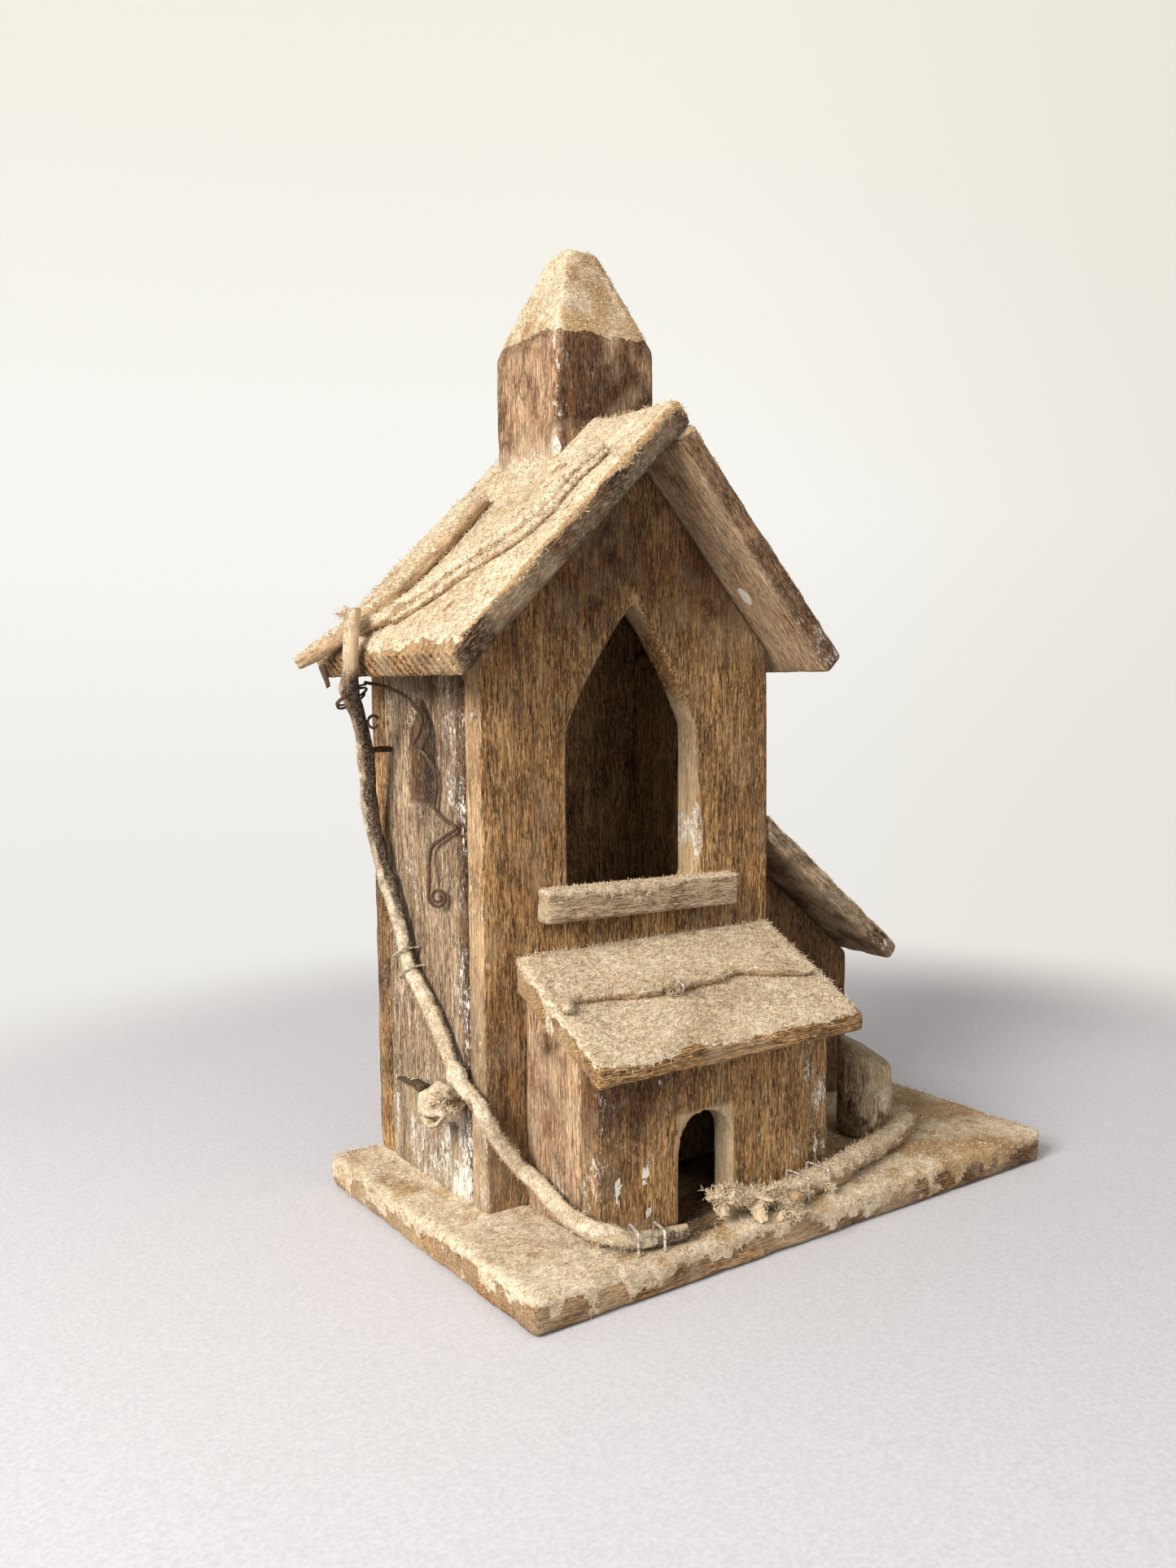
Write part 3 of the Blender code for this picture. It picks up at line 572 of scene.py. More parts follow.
def felt_parts(tree, coords, tones):
    """Colour and height of the fibrous dust."""
    threads = maths(tree, "MAXIMUM", thread_lines(tree, coords, 1.7, 0.028, 3.0),
                    thread_lines(tree, coords, 1.1, 0.03, 41.0))
    clumps = grain_noise(tree, coords, 2.4, 5.0, 0.7, 0.6, 11.0)
    broad = grain_noise(tree, coords, 17.0, 3.0, 0.55, 0.4, 23.0)
    tone = weighted(tree, (clumps, 0.75), (broad, 0.35))
    colour = ramp(tree, tone, (0.36, tones[0]), (0.52, tones[1]), (0.66, tones[2]))
    gaps = grain_noise(tree, coords, 0.7, 3.0, 0.7, 1.2, 57.0)
    colour = blended(tree, between(tree, gaps, 0.47, 0.36, 0.0, 0.7), colour, tones[0])
    colour = blended(tree, maths(tree, "MULTIPLY", threads, 0.65), colour, tones[3])
    return colour, weighted(tree, (threads, 0.45), (clumps, 0.9))


FELT_TONES = (srgb(140, 113, 82), srgb(204, 181, 147), srgb(232, 215, 186), srgb(252, 244, 228))
BROWN_TONES = (srgb(46, 28, 11), srgb(108, 71, 32), srgb(154, 109, 60), srgb(214, 174, 122))
GREY_TONES = (srgb(42, 29, 18), srgb(98, 72, 47), srgb(144, 113, 82), srgb(212, 188, 158))
PINK_TONES = (srgb(56, 36, 22), srgb(118, 82, 54), srgb(162, 122, 88), srgb(214, 178, 142))
DARK_TONES = (srgb(28, 17, 8), srgb(76, 50, 24), srgb(108, 75, 40), srgb(146, 110, 68))
WHITEWASH = srgb(226, 218, 204)


def add_bump(tree, shader, height, strength, distance):
    normal = node(tree, "ShaderNodeBump", {"Height": height, "Strength": strength, "Distance": distance})
    tree.links.new(normal.outputs[0], shader.inputs["Normal"])


def finish_shader(tree, shader, colour, roughness, specular):
    """Links the colour and the roughness, and sets how strongly it shines."""
    tree.links.new(colour, shader.inputs["Base Color"])
    tree.links.new(roughness, shader.inputs["Roughness"])
    shader.inputs["Specular IOR Level"].default_value = specular


def wood(name, tones, seed, along=2, turn=0.0, film=0.25, flecks=0.5):
    """Rough sawn wood with its grain along one axis, whitewash flecks, and dust where the mask says. The
    stain mask darkens it: real stains, and painted shade on some pieces. The pale mask lightens it: dust, and
    painted light on some pieces.
    """
    material, tree, shader = start_material(name)
    coords = millimetres(tree, turn)
    start = float(seed * 13)

    def grain(across, length, detail, roughness, distortion, shift):
        sizes = [across] * 3
        sizes[along] = length
        return grain_noise(tree, coords, sizes, detail, roughness, distortion, start + shift)

    fine = grain(0.42, 8.0, 4.0, 0.72, 0.1, 0)
    pores = grain(0.30, 2.2, 3.0, 0.7, 0.0, 5)
    bands = grain(2.6, 50.0, 4.0, 0.6, 0.8, 9)
    broad = grain_noise(tree, coords, (22.0, 22.0, 28.0), 4.0, 0.6, 0.5, start + 17)
    saw = grain(9.0, 0.9, 2.0, 0.5, 0.6, 29)
    tone = weighted(tree, (fine, 0.75), (bands, 0.36), (broad, 0.34), (pores, 0.40))
    tone = maths(tree, "SUBTRACT", tone, 0.425)
    colour = ramp(tree, tone, (0.34, tones[0]), (0.45, tones[1]), (0.55, tones[2]), (0.68, tones[3]))

    lint = grain(0.48, 3.4, 3.0, 0.8, 0.3, 71)
    colour = blended(tree, between(tree, lint, 0.54, 0.61, 0.0, 0.7), colour, tones[3])
    pit = grain(0.55, 5.5, 3.0, 0.8, 0.2, 83)
    colour = blended(tree, between(tree, pit, 0.475, 0.40, 0.0, 0.85), colour, tones[0])
    ring = grain(1.5, 17.0, 3.0, 0.6, 0.5, 97)
    crack = distance_from(tree, ring, 0.5)
    colour = blended(tree, between(tree, crack, 0.004, 0.020, 0.8, 0.0), colour, tones[0])
    ridge = distance_from(tree, ring, 0.54)
    colour = blended(tree, between(tree, ridge, 0.002, 0.016, 0.55, 0.0), colour, tones[3])

    attribute = node(tree, "ShaderNodeAttribute", attribute_name="masks")
    dust, paint, stain_and_shade = node(tree, "ShaderNodeSeparateColor", {0: attribute.outputs["Color"]}).outputs
    pale = attribute.outputs["Alpha"]
    # Darker where the stain mask is: real stains, and painted shade where a piece's mask puts shade.
    darker = blended(tree, 1.0, colour, srgb(138, 112, 80), "MULTIPLY")
    dark_share = between(tree, weighted(tree, (stain_and_shade, 1), (fine, 0.5)), 0.2, 1.3)
    colour = blended(tree, dark_share, colour, darker)
    deep = blended(tree, 1.0, colour, srgb(128, 102, 76), "MULTIPLY")
    colour = blended(tree, between(tree, stain_and_shade, 1.0, 1.8), colour, deep)

    # Lighter towards dust where the film and the pale mask are: dust, and painted light where a piece's mask
    # puts light.
    haze = between(tree, grain(0.5, 1.8, 5.0, 0.8, 0.2, 51), 0.46, 0.66)
    patchy = maths(tree, "ADD", maths(tree, "MULTIPLY", fine, 1.2), 0.4)
    haze_and_light_share = maths(tree, "MULTIPLY", weighted(tree, (haze, film), (pale, 0.55)), patchy, True)
    colour = blended(tree, haze_and_light_share, colour, FELT_TONES[1])

    speck = grain(0.45, 1.5, 4.0, 0.8, 0.4, 37)
    crust = grain(1.3, 3.6, 6.0, 0.85, 0.3, 43)
    fleck_level = weighted(tree, (paint, 0.235), (speck, 0.5), (crust, 0.5))
    white = between(tree, fleck_level, 0.72 - 0.05 * flecks, 0.755 - 0.05 * flecks)
    colour = blended(tree, maths(tree, "MULTIPLY", white, 0.9), colour, WHITEWASH)

    felt_colour, felt_height = felt_parts(tree, coords, FELT_TONES)
    # Felt darker where the stain mask is: dirt, and painted shade on front faces.
    darker_felt = blended(tree, 1.0, felt_colour, srgb(214, 192, 164), "MULTIPLY")
    felt_colour = blended(tree, between(tree, stain_and_shade, 0.2, 0.9), felt_colour, darker_felt)
    ragged = grain_noise(tree, coords, 0.9, 4.0, 0.75, 0.8, start + 61)
    edge = weighted(tree, (dust, 1), (maths(tree, "SUBTRACT", ragged, 0.5), 1.3))
    dusty = between(tree, edge, 0.36, 0.60)
    colour = blended(tree, dusty, colour, felt_colour)

    split = between(tree, crack, 0.0, 0.02, -0.3, 0.0)
    wood_height = weighted(tree, (fine, 0.6), (pores, 0.3), (lint, 0.45), (pit, 0.45), (saw, 0.25),
                           (split, 1), (white, 0.15))
    height = node(tree, "ShaderNodeMix", {0: dusty, 2: wood_height, 3: felt_height}, data_type="FLOAT")
    add_bump(tree, shader, height.outputs[0], 0.9, 0.0005)
    finish_shader(tree, shader, colour, between(tree, fine, 0.3, 0.75, 0.72, 0.95), 0.22)
    return material


def bark(name, tones, seed, film=0.2):
    """Dry bark with fibres along the stem, pale where it has peeled, and dust where the mask says; darker
    where the stain mask says, which on the vine is painted shade on the side away from the light.
    """
    material, tree, shader = start_material(name)
    straight = node(tree, "ShaderNodeAttribute", attribute_name="straight").outputs["Vector"]
    coords = millimetres(tree)
    shift = float(seed * 7)
    fine = grain_noise(tree, straight, (0.35, 0.35, 5.0), 5.0, 0.7, 0.2, shift)
    blotch = grain_noise(tree, straight, (1.8, 1.8, 7.0), 5.0, 0.65, 0.5, shift + 5)
    tone = weighted(tree, (fine, 0.6), (blotch, 0.5))
    colour = ramp(tree, tone, (0.34, tones[0]), (0.50, tones[1]), (0.64, tones[2]), (0.80, tones[3]))
    attribute = node(tree, "ShaderNodeAttribute", attribute_name="masks").outputs[0]
    dust, paint, stain_and_shade = node(tree, "ShaderNodeSeparateColor", {0: attribute}).outputs
    peel = between(tree, weighted(tree, (paint, 1), (blotch, 0.6)), 0.60, 1.0)
    colour = blended(tree, peel, colour, srgb(196, 170, 136))
    # Darker where the stain mask is: painted shade on the vine's side away from the light.
    dark = between(tree, weighted(tree, (stain_and_shade, 1), (fine, 0.5)), 0.4, 0.95)
    colour = blended(tree, dark, colour, blended(tree, 1.0, colour, srgb(110, 88, 72), "MULTIPLY"))
    haze = between(tree, grain_noise(tree, coords, 0.7, 5.0, 0.75, 0.2, shift + 11), 0.42, 0.7)
    colour = blended(tree, maths(tree, "MULTIPLY", haze, film), colour, FELT_TONES[2])
    felt_colour, felt_height = felt_parts(tree, coords, FELT_TONES)
    ragged = grain_noise(tree, coords, 0.6, 4.0, 0.75, 0.8, shift + 17)
    edge = weighted(tree, (dust, 1), (maths(tree, "SUBTRACT", ragged, 0.5), 1))
    dusty = between(tree, edge, 0.25, 0.8)
    colour = blended(tree, dusty, colour, felt_colour)
    bare_height = weighted(tree, (fine, 1), (blotch, 1))
    height = node(tree, "ShaderNodeMix", {0: dusty, 2: bare_height, 3: felt_height}, data_type="FLOAT")
    add_bump(tree, shader, height.outputs[0], 1.0, 0.0004)
    finish_shader(tree, shader, colour, between(tree, fine, 0.3, 0.7, 0.62, 0.92), 0.25)
    return material


def thread(name, tones):
    """Loose dust threads: each a little lighter or darker than the next."""
    material, tree, shader = start_material(name)
    coords = millimetres(tree)
    tone = grain_noise(tree, coords, 0.9, 3.0, 0.7, 0.0, 7.0)
    broad = grain_noise(tree, coords, 14.0, 3.0, 0.6, 0.0, 19.0)
    tone = weighted(tree, (tone, 0.7), (broad, 0.35))
    colour = ramp(tree, tone, (0.38, tones[0]), (0.52, tones[1]), (0.64, tones[2]), (0.74, tones[3]))
    streaks = grain_noise(tree, coords, 0.25, 2.0, 0.6, 0.0, 29.0)
    add_bump(tree, shader, streaks, 0.5, 0.0001)
    finish_shader(tree, shader, colour, between(tree, streaks, 0.3, 0.7, 0.8, 0.98), 0.15)
    return material


def steel(name):
    """Dull galvanised wire with tarnish."""
    material, tree, shader = start_material(name)
    spots = grain_noise(tree, millimetres(tree), 0.8, 5.0, 0.7, 0.3, 3.0)
    colour = ramp(tree, spots, (0.38, srgb(128, 112, 92)), (0.52, srgb(198, 188, 172)),
                  (0.7, srgb(236, 230, 216)))
    add_bump(tree, shader, spots, 0.4, 0.00008)
    finish_shader(tree, shader, colour, between(tree, spots, 0.3, 0.7, 0.55, 0.28), 0.5)
    shader.inputs["Metallic"].default_value = 0.45
    return material


# ---------------------------------------------------------------- where dust, paint, stains, painted shade and painted light lie

def ragged_edge(places, seed):
    """Noise for a torn border: slow wander, small lobes and loose ends."""
    wander = 0.75 * noise(places, 15.0, seed + 20)
    return wander + 0.45 * noise(places, 5.0, seed + 21) + 0.4 * rough_noise(places, 1.7, seed + 22)


def top_cover(low=0.30, high=0.55, patchy=0.3):
    """Dust on what faces up, wrapping raggedly over the edges."""
    def cover(places, normals, seed):
        ragged = patchy * ragged_edge(places, seed)
        return ease(normals[:, 2] + ragged, low, high)
    return cover


def porch_roof_height(y):
    """How high the top of the porch roof is at each y."""
    return PORCH_EAVE_Z + (y - PORCH_EAVE_Y) / PORCH_ROOF_DEPTH * PORCH_ROOF_RISE


def faces_front(normals):
    """1 on faces towards the front."""
    return ease(-normals[:, 1], 0.3, 0.8)


def faces_left(normals, low=0.3):
    """1 on faces towards the left."""
    return ease(-normals[:, 0], low, 0.8)


def shade_by_the_door(places):
    """1 on the floor inside the porch, fading out just in front of its door. The dust is left off here and
    the wood darkened: painted shade inside the porch, and darker wood in front of the door.
    """
    x, y = places[:, 0], places[:, 1]
    inside = ease(x, -67.0, -65.0) * ease(9.0 - x, 0.0, 2.0) * ease(y, -45.0, -43.0)
    step = 1.2 - np.hypot((x + 38.0) / 15.0, (y + 46.0) / 8.0)
    return np.maximum(inside, 0.65 * ease(step + 0.3 * noise(places, 4.0, 302), 0.0, 0.6))


def base_cover(places, normals, seed):
    """The whole top, and patches that hang down the edges."""
    top = ease(normals[:, 2] + 0.3 * ragged_edge(places, seed), 0.15, 0.5)
    hanging = rough_noise(places, (5.5, 5.5, 6.0), seed + 23) + 0.6 * (places[:, 2] / BASE_TOP - 0.55)
    cover = np.maximum(top, ease(hanging, 0.0, 0.35)) * ease(normals[:, 2], -0.75, -0.4)
    return cover * (1 - shade_by_the_door(places))


def base_stain_and_shade(places, normals, seed):
    """Browner dust towards the right end, and dark wood by the door: painted shade inside the porch, and
    darker in front of its door.
    """
    right = ease(places[:, 0], 5.0, 60.0)
    spread = 0.6 * rough_noise(places, 9.0, seed + STAIN)
    return np.clip(0.2 + 0.5 * right + spread, 0, 1) + shade_by_the_door(places)


def steeple_cover(places, normals, seed):
    """The pyramid down to a ragged line above its eave, and a little at the foot."""
    z = places[:, 2]
    line = STEEPLE_EAVE + 2.6 + 2.4 * ragged_edge(places, seed)
    cap = ease(z, line - 1.2, line + 1.2)
    left = faces_left(normals, 0.4) * ease(222.0 - z, 0.0, 10.0)
    low = ease(212.0 - z + 3.0 * noise(places, 6.0, seed + 24), 0.0, 4.0)
    foot = ease(rough_noise(places, 5.0, seed + 25) + 0.9 * left, 0.75, 1.1) * np.maximum(left, low)
    return np.maximum(cap, foot)


def porch_roof_cover(places, normals, seed):
    """Felt over the top; on the left end a torn fringe, and one strip that crosses the bare wood."""
    y, z = places[:, 1], places[:, 2]
    top = ease(normals[:, 2] + 0.42 * ragged_edge(places, seed), 0.36, 0.7)
    depth = porch_roof_height(y) - z
    end = ease(-normals[:, 0], 0.3, 0.7)
    fringe = ease(1.5 + 1.5 * ragged_edge(places, seed) - depth, 0.0, 0.8)
    strip = ease(2.4 + 1.3 * rough_noise(places, 2.5, seed + 27) - np.abs(y + 31.5), 0.0, 0.8)
    return np.maximum(top, end * np.maximum(fringe, strip))


def scattered(amount, cell, strength, own_seed):
    """A mask of an even amount with lumps on it."""
    def mask(places, normals, seed):
        return np.clip(amount + strength * rough_noise(places, cell, seed + own_seed), 0, 1)
    return mask


def scattered_paint(amount):
    return scattered(amount, 14.0, 0.5, PAINT)


def spotty_stain(amount, cell=15.0):
    return scattered(amount, cell, 0.7, STAIN)


def scattered_pale(amount, cell=12.0):
    return scattered(amount, cell, 0.5, PALE)


def steeple_paint(places, normals, seed):
    """Whitewash left along the near upright corner and low on the left face."""
    x, y, z = places.T
    near = np.hypot(x - (STEEPLE_X - STEEPLE_HALF), y - (STEEPLE_Y - STEEPLE_HALF))
    corner = ease(5.6 + 3.0 * rough_noise(places, (2.2, 2.2, 6.0), seed + PAINT) - near, 0.0, 6.5)
    low = faces_left(normals, 0.4) * ease(226.0 - z, 0.0, 18.0)
    return np.clip(0.8 * corner + 1.1 * low + 0.35 * rough_noise(places, 5.0, seed + 42), 0, 0.95)


def steeple_stain_and_front_shade(places, normals, seed):
    """Painted shade: dark and mottled on the front face; darkest in rings just under the dust line."""
    y, z = places[:, 1], places[:, 2]
    front = faces_front(normals)
    spread = 0.6 * rough_noise(places, (6.0, 6.0, 10.0), seed + STAIN)
    first = np.hypot(y - 23.6, (z - 236.6) * 0.7)
    second = np.hypot(y - 34.6, (z - 218.5) * 0.7)
    rings = ease(0.55 - np.abs(np.minimum(first, second) - 2.6), 0.0, 0.5)
    left = faces_left(normals)
    return np.clip(0.8 * front + 0.15 * left + spread + 1.6 * rings * left, 0, 1)


def steeple_pale(places, normals, seed):
    """Dusty low on the left face."""
    left = faces_left(normals, 0.4)
    low = ease(228.0 - places[:, 2], 0.0, 18.0)
    return np.clip(left * low + 0.3 * rough_noise(places, 6.0, seed + PALE), 0, 1)


def blind_window(places):
    """1 inside the shallow arch in the left wall."""
    y, z = places[:, 1], places[:, 2]
    inside = ease(y, 13.3, 14.2) * ease(30.2 - y, 0.0, 1.0)
    peak = 138.0 + 9.7 * (1 - np.abs(y - 21.7) / 8.3)
    return inside * ease(z, 117.0, 118.5) * ease(peak - z, 0.0, 1.0)


def left_wall_paint(places, normals, seed):
    """Flecks all over, thick towards the bottom front corner."""
    y, z = places[:, 1], places[:, 2]
    low = ease(75.0 - z - 0.6 * y, 0.0, 70.0)
    spread = 0.3 * rough_noise(places, (5.0, 5.0, 12.0), seed + PAINT)
    corner = 0.22 * ease(12.0 - y, 0.0, 12.0)
    return np.clip(0.26 + corner + 0.42 * low + spread - 0.5 * blind_window(places), 0, 0.9)


def left_wall_stain_and_eave_shade(places, normals, seed):
    """Dark in the blind window and next to the front panel, and painted shade under the eave."""
    y, z = places[:, 1], places[:, 2]
    edge = ease(2.2 - y, 0.0, 3.5)
    # Painted shade under the eave.
    high = ease(z, 140.0, 162.0) * 0.6
    arch = blind_window(places)
    spread = 0.5 * rough_noise(places, (7.0, 7.0, 26.0), seed + STAIN)
    return np.clip(edge + high + 0.2 + spread, 0, 1) + 1.2 * arch


def left_wall_pale(places, normals, seed):
    """Dusty at the bottom."""
    low = ease(52.0 - places[:, 2], 0.0, 46.0)
    return np.clip(0.4 * low + 0.2 * rough_noise(places, (6.0, 6.0, 18.0), seed + PALE), 0, 1)


def front_panel_paint(places, normals, seed):
    """Worn paint on the left edge strip and in chips by the window."""
    x, z = places[:, 0], places[:, 2]
    strip = faces_left(normals) * ease(TOWER_LEFT + 3.0 - x, 0.0, 2.0)
    window = ease(2.2 - np.hypot(x + 7.6, (z - 107.0) * 0.17), 0.0, 1.2)
    corner = ease(TOWER_LEFT + 2.0 - x, 0.0, 1.5) * ease(120.0 - z, 0.0, 30.0)
    spread = 0.34 * rough_noise(places, (10.0, 10.0, 24.0), seed + PAINT)
    return np.clip(0.08 + 0.15 * strip + window + 0.25 * corner + spread, 0, 0.9)


def in_reveal(places):
    """1 on the window's sides, through the thickness of the front panel."""
    x, z = places[:, 0], places[:, 2]
    narrow = np.clip((z - 138.0) / 35.0, 0, 1)
    right = -8.8 - 21.2 * narrow
    left = -53.0 + 23.0 * narrow
    inside = ease(x, left - 1.4, left - 0.6) * ease(right + 1.4 - x, 0.0, 0.8)
    return inside * ease(z, 92.8, 93.6) * ease(176.0 - z, 0.0, 1.5)


def front_panel_shade_and_stain(places, normals, seed):
    """Painted shade under the roof, and darker down the left side."""
    x, z = places[:, 0], places[:, 2]
    # Painted shade under the roof.
    high = ease(z, 140.0, 200.0)
    left = ease(-x, 48.0, 74.0) * 0.15
    front = ease(-normals[:, 1], 0.2, 0.6)
    spread = 0.4 * rough_noise(places, (16.0, 16.0, 30.0), seed + STAIN)
    return np.clip(((0.85 * high + left) * front + spread) * (1 - in_reveal(places)), 0, 1)


def front_panel_pale_and_painted_light(places, normals, seed):
    """Painted light: the window's reveal and the left edge strip are lighter, as where the light from the
    left falls.
    """
    x, z = places[:, 0], places[:, 2]
    strip = ease(-normals[:, 0], 0.5, 0.9) * ease(TOWER_LEFT + 2.0 - x, 0.0, 1.5)
    low = ease(70.0 - z, 0.0, 60.0) * ease(-60.0 - x, 0.0, 12.0)
    spread = 0.25 * rough_noise(places, 9.0, seed + PALE)
    return np.clip(0.75 * in_reveal(places) + 0.4 * strip + 0.4 * low + spread, 0, 1)


def porch_paint(places, normals, seed):
    """Flecks down the left edge and near the right edge."""
    x, z = places[:, 0], places[:, 2]
    left = ease(-61.0 - x, 0.0, 7.0) * ease(44.0 - z, 0.0, 16.0)
    right = ease(x + 4.0, 0.0, 14.0)
    spread = 0.32 * rough_noise(places, (3.5, 3.5, 7.0), seed + PAINT)
    broken = ease(rough_noise(places, (0.9, 0.9, 2.2), seed + 43), -0.15, 0.25)
    mark = np.minimum(np.hypot(x + 61.5, (z - 24.5) * 0.24),
                      np.hypot(x + 53.0, (z - 25.5) * 0.4))
    nail = np.hypot(x + 52.1, z - 16.0)
    spots = 1.5 * ease(1.5 - mark, 0.0, 0.9) * broken + 2.5 * ease(1.0 - nail, 0.0, 0.4)
    return np.clip(0.2 + 0.4 * left + 0.34 * right + spread, 0, 0.8) + spots * ease(-normals[:, 1], 0.3, 0.7)


def porch_shade_and_stain(places, normals, seed):
    """Painted shade at the top left, under the roof."""
    x, z = places[:, 0], places[:, 2]
    top_left = ease(z - 0.8 * x, 60.0, 105.0)
    return np.clip(0.9 * top_left + 0.45 * rough_noise(places, 9.0, seed + STAIN), 0, 1)


def porch_pale(places, normals, seed):
    """The door's reveal is light tan."""
    x, z = places[:, 0], places[:, 2]
    inside = ease(x, -43.0, -42.3) * ease(-23.0 - x, 0.0, 0.8) * ease(39.6 - z, 0.0, 0.8)
    return np.clip(0.9 * inside + 0.25 * rough_noise(places, 7.0, seed + PALE), 0, 1)


def roof_paint(places, normals, seed):
    """Chips on the outer edge of the front face, and one on the soffit."""
    x, y, z = places.T
    front = faces_front(normals)
    along = (x - 6.4) * math.cos(RIGHT_PITCH) - (z - 175.3) * math.sin(RIGHT_PITCH)
    chip = np.hypot(along / 3.4, (y + 16.6) / 1.9)
    spot = ease(1.0 - chip, 0.0, 0.25) * ease(-normals[:, 2], 0.1, 0.4)
    worn = np.clip(front * (0.25 + 0.5 * rough_noise(places, 8.0, seed + PAINT)), 0, 0.8)
    return worn + 3.0 * spot


def roof_front_shade(places, normals, seed):
    """Painted shade: the front face is darker than the soffit."""
    front = faces_front(normals)
    return np.clip(0.75 * front + 0.35 * rough_noise(places, 8.0, seed + STAIN), 0, 1)


def soffit_painted_light(places, normals, seed):
    """Painted light: the underside is lighter."""
    under = ease(-normals[:, 2], 0.2, 0.6)
    return np.clip(0.4 * under + 0.3 * rough_noise(places, (14.0, 9.0, 14.0), seed + PALE), 0, 1)


def eave_saw_marks(places, normals):
    """Slanted saw cuts in the left roof board's eave face, which the board also darkens as painted shade."""
    y, z = places[:, 1], places[:, 2]
    down = -normals[:, 0] * math.cos(LEFT_PITCH) - normals[:, 2] * math.sin(LEFT_PITCH)
    wave = np.sin((y - 0.8 * z) * 2 * math.pi / 3.8 + 1.8 * noise(places, 7.0, 301))
    return 0.95 * ease(down, 0.55, 0.85) * ease(wave, 0.45, 0.9)


def left_roof_front_shade(places, normals, seed):
    """Painted shade: the face under the gable edge is dark."""
    front = faces_front(normals)
    return np.clip(0.15 + 1.25 * front + 0.4 * rough_noise(places, 8.0, seed + STAIN), 0, 1.6)


def stump_stain(places, normals, seed):
    """Dark round the top rim, and in patches up from the bottom."""
    rim = ease(normals[:, 2], 0.15, 0.5)
    patches = rough_noise(places, (7.0, 7.0, 9.0), seed + STAIN) + ease(24.0 - places[:, 2], 0.0, 16.0) - 0.5
    return np.clip(0.9 * rim + 1.5 * ease(patches, 0.0, 0.35), 0, 1.7)


def stump_cover(places, normals, seed):
    """Thin pale dust in patches on the upright side."""
    patches = rough_noise(places, (6.0, 6.0, 8.0), seed + DUST) + ease(places[:, 2], 12.0, 30.0) * 0.4
    return 0.55 * ease(patches, 0.0, 0.5) * ease(0.4 - normals[:, 2], 0.0, 0.3)


def left_roof_cover(places, normals, seed):
    """The felt, with a few small bare spots in it."""
    top = ease(normals[:, 2] + 0.3 * ragged_edge(places, seed), 0.30, 0.62)
    bare = np.zeros(len(places))
    for x, y, size in ((-86.2, -8.7, 2.0), (-98.0, -10.9, 1.6), (-90.5, -4.0, 1.1), (-60.0, -24.0, 1.0)):
        bare = np.maximum(bare, ease(size - np.hypot(places[:, 0] - x, places[:, 1] - y)
                                     + 0.5 * noise(places, 1.5, seed + 28), 0.0, 0.6))
    return top * (1 - 0.75 * bare)


def roof_heap(places):
    """Dust heaped against the steeple's foot."""
    x, y = places[:, 0], places[:, 1]
    off_x = np.maximum(np.abs(x - STEEPLE_X) - STEEPLE_HALF, 0)
    off_y = np.maximum(np.abs(y - STEEPLE_Y) - STEEPLE_HALF, 0)
    return 1.5 * np.exp(-np.hypot(off_x, off_y) / 2.6)


def outside(value, low, high):
    """How far the value is below low or above high."""
    return np.maximum(np.maximum(low - value, value - high), 0)


def base_heap(places):
    """Dust heaped along the foot of the walls."""
    x, y, _ = places.T
    tower = np.hypot(outside(x, TOWER_LEFT, TOWER_RIGHT), outside(y, TOWER_FRONT, TOWER_BACK))
    porch = np.hypot(outside(x, PORCH_LEFT, PORCH_RIGHT), np.maximum(PORCH_FRONT - y, 0))
    porch = porch + (y > TOWER_FRONT) * 100.0
    return 0.9 * np.exp(-np.minimum(tower, porch) / 1.5)


def side_cover(direction, low, high):
    """Dust on a stem's side that faces the given way."""
    facing = np.array(direction) / np.linalg.norm(direction)

    def cover(places, normals, seed):
        return ease(normals @ facing + 0.5 * rough_noise(places, 3.0, seed + DUST), low, high)
    return cover


def vine_cover(places, normals, seed):
    """Pale fuzz: thin on the left side high up, thick on the upper side lower down, none at the front end."""
    x, y, z = places.T
    facing = np.array((-0.8, -0.1, 0.5))
    low = ease(88.0 - z, 0.0, 26.0) * (1 - 0.9 * ease(x, -60.0, -54.0))
    bare = ease(3.4 - np.hypot(y + 12.0, z - 41.0), 0.0, 1.5)
    ragged = 0.3 * rough_noise(places, 2.2, seed + DUST)
    return 0.9 * ease(normals @ facing + ragged + 0.75 * low - bare, 0.1, 1.25)


def vine_peel(places, normals, seed):
    """Pale where the bark has gone: the hook at the top, and patches."""
    x, z = places[:, 0], places[:, 2]
    hook = ease(z, 150.0, 160.0)
    end = ease(x, -60.0, -54.0)
    return np.clip(0.15 + 0.6 * hook + 0.3 * end + 0.3 * rough_noise(places, 5.0, seed + PAINT), 0, 1)


def vine_shaded_side(places, normals, seed):
    """Painted shade on the side that faces the front, below the eave."""
    facing = np.array((0.42, -0.84, -0.2))
    below = ease(158.0 - places[:, 2], 0.0, 10.0)
    return below * ease(normals @ facing + 0.2 * rough_noise(places, 3.0, seed + STAIN), -0.2, 0.7)


def knot_crust_and_hollow_shade(places, normals, seed):
    """A pale crust all round, left off in a patch in its front, where the bare bark is painted shade for a
    dark hollow.
    """
    y, z = places[:, 1], places[:, 2]
    hollow = np.hypot(y + 1.8, (z - 40.6) * 1.2) - 0.5 * noise(places, 2.0, seed + 26)
    crust = 0.9 + 0.35 * rough_noise(places, 1.6, seed + DUST)
    return np.clip(crust, 0, 1) * ease(hollow, 1.1, 1.9)


# ---------------------------------------------------------------- materials

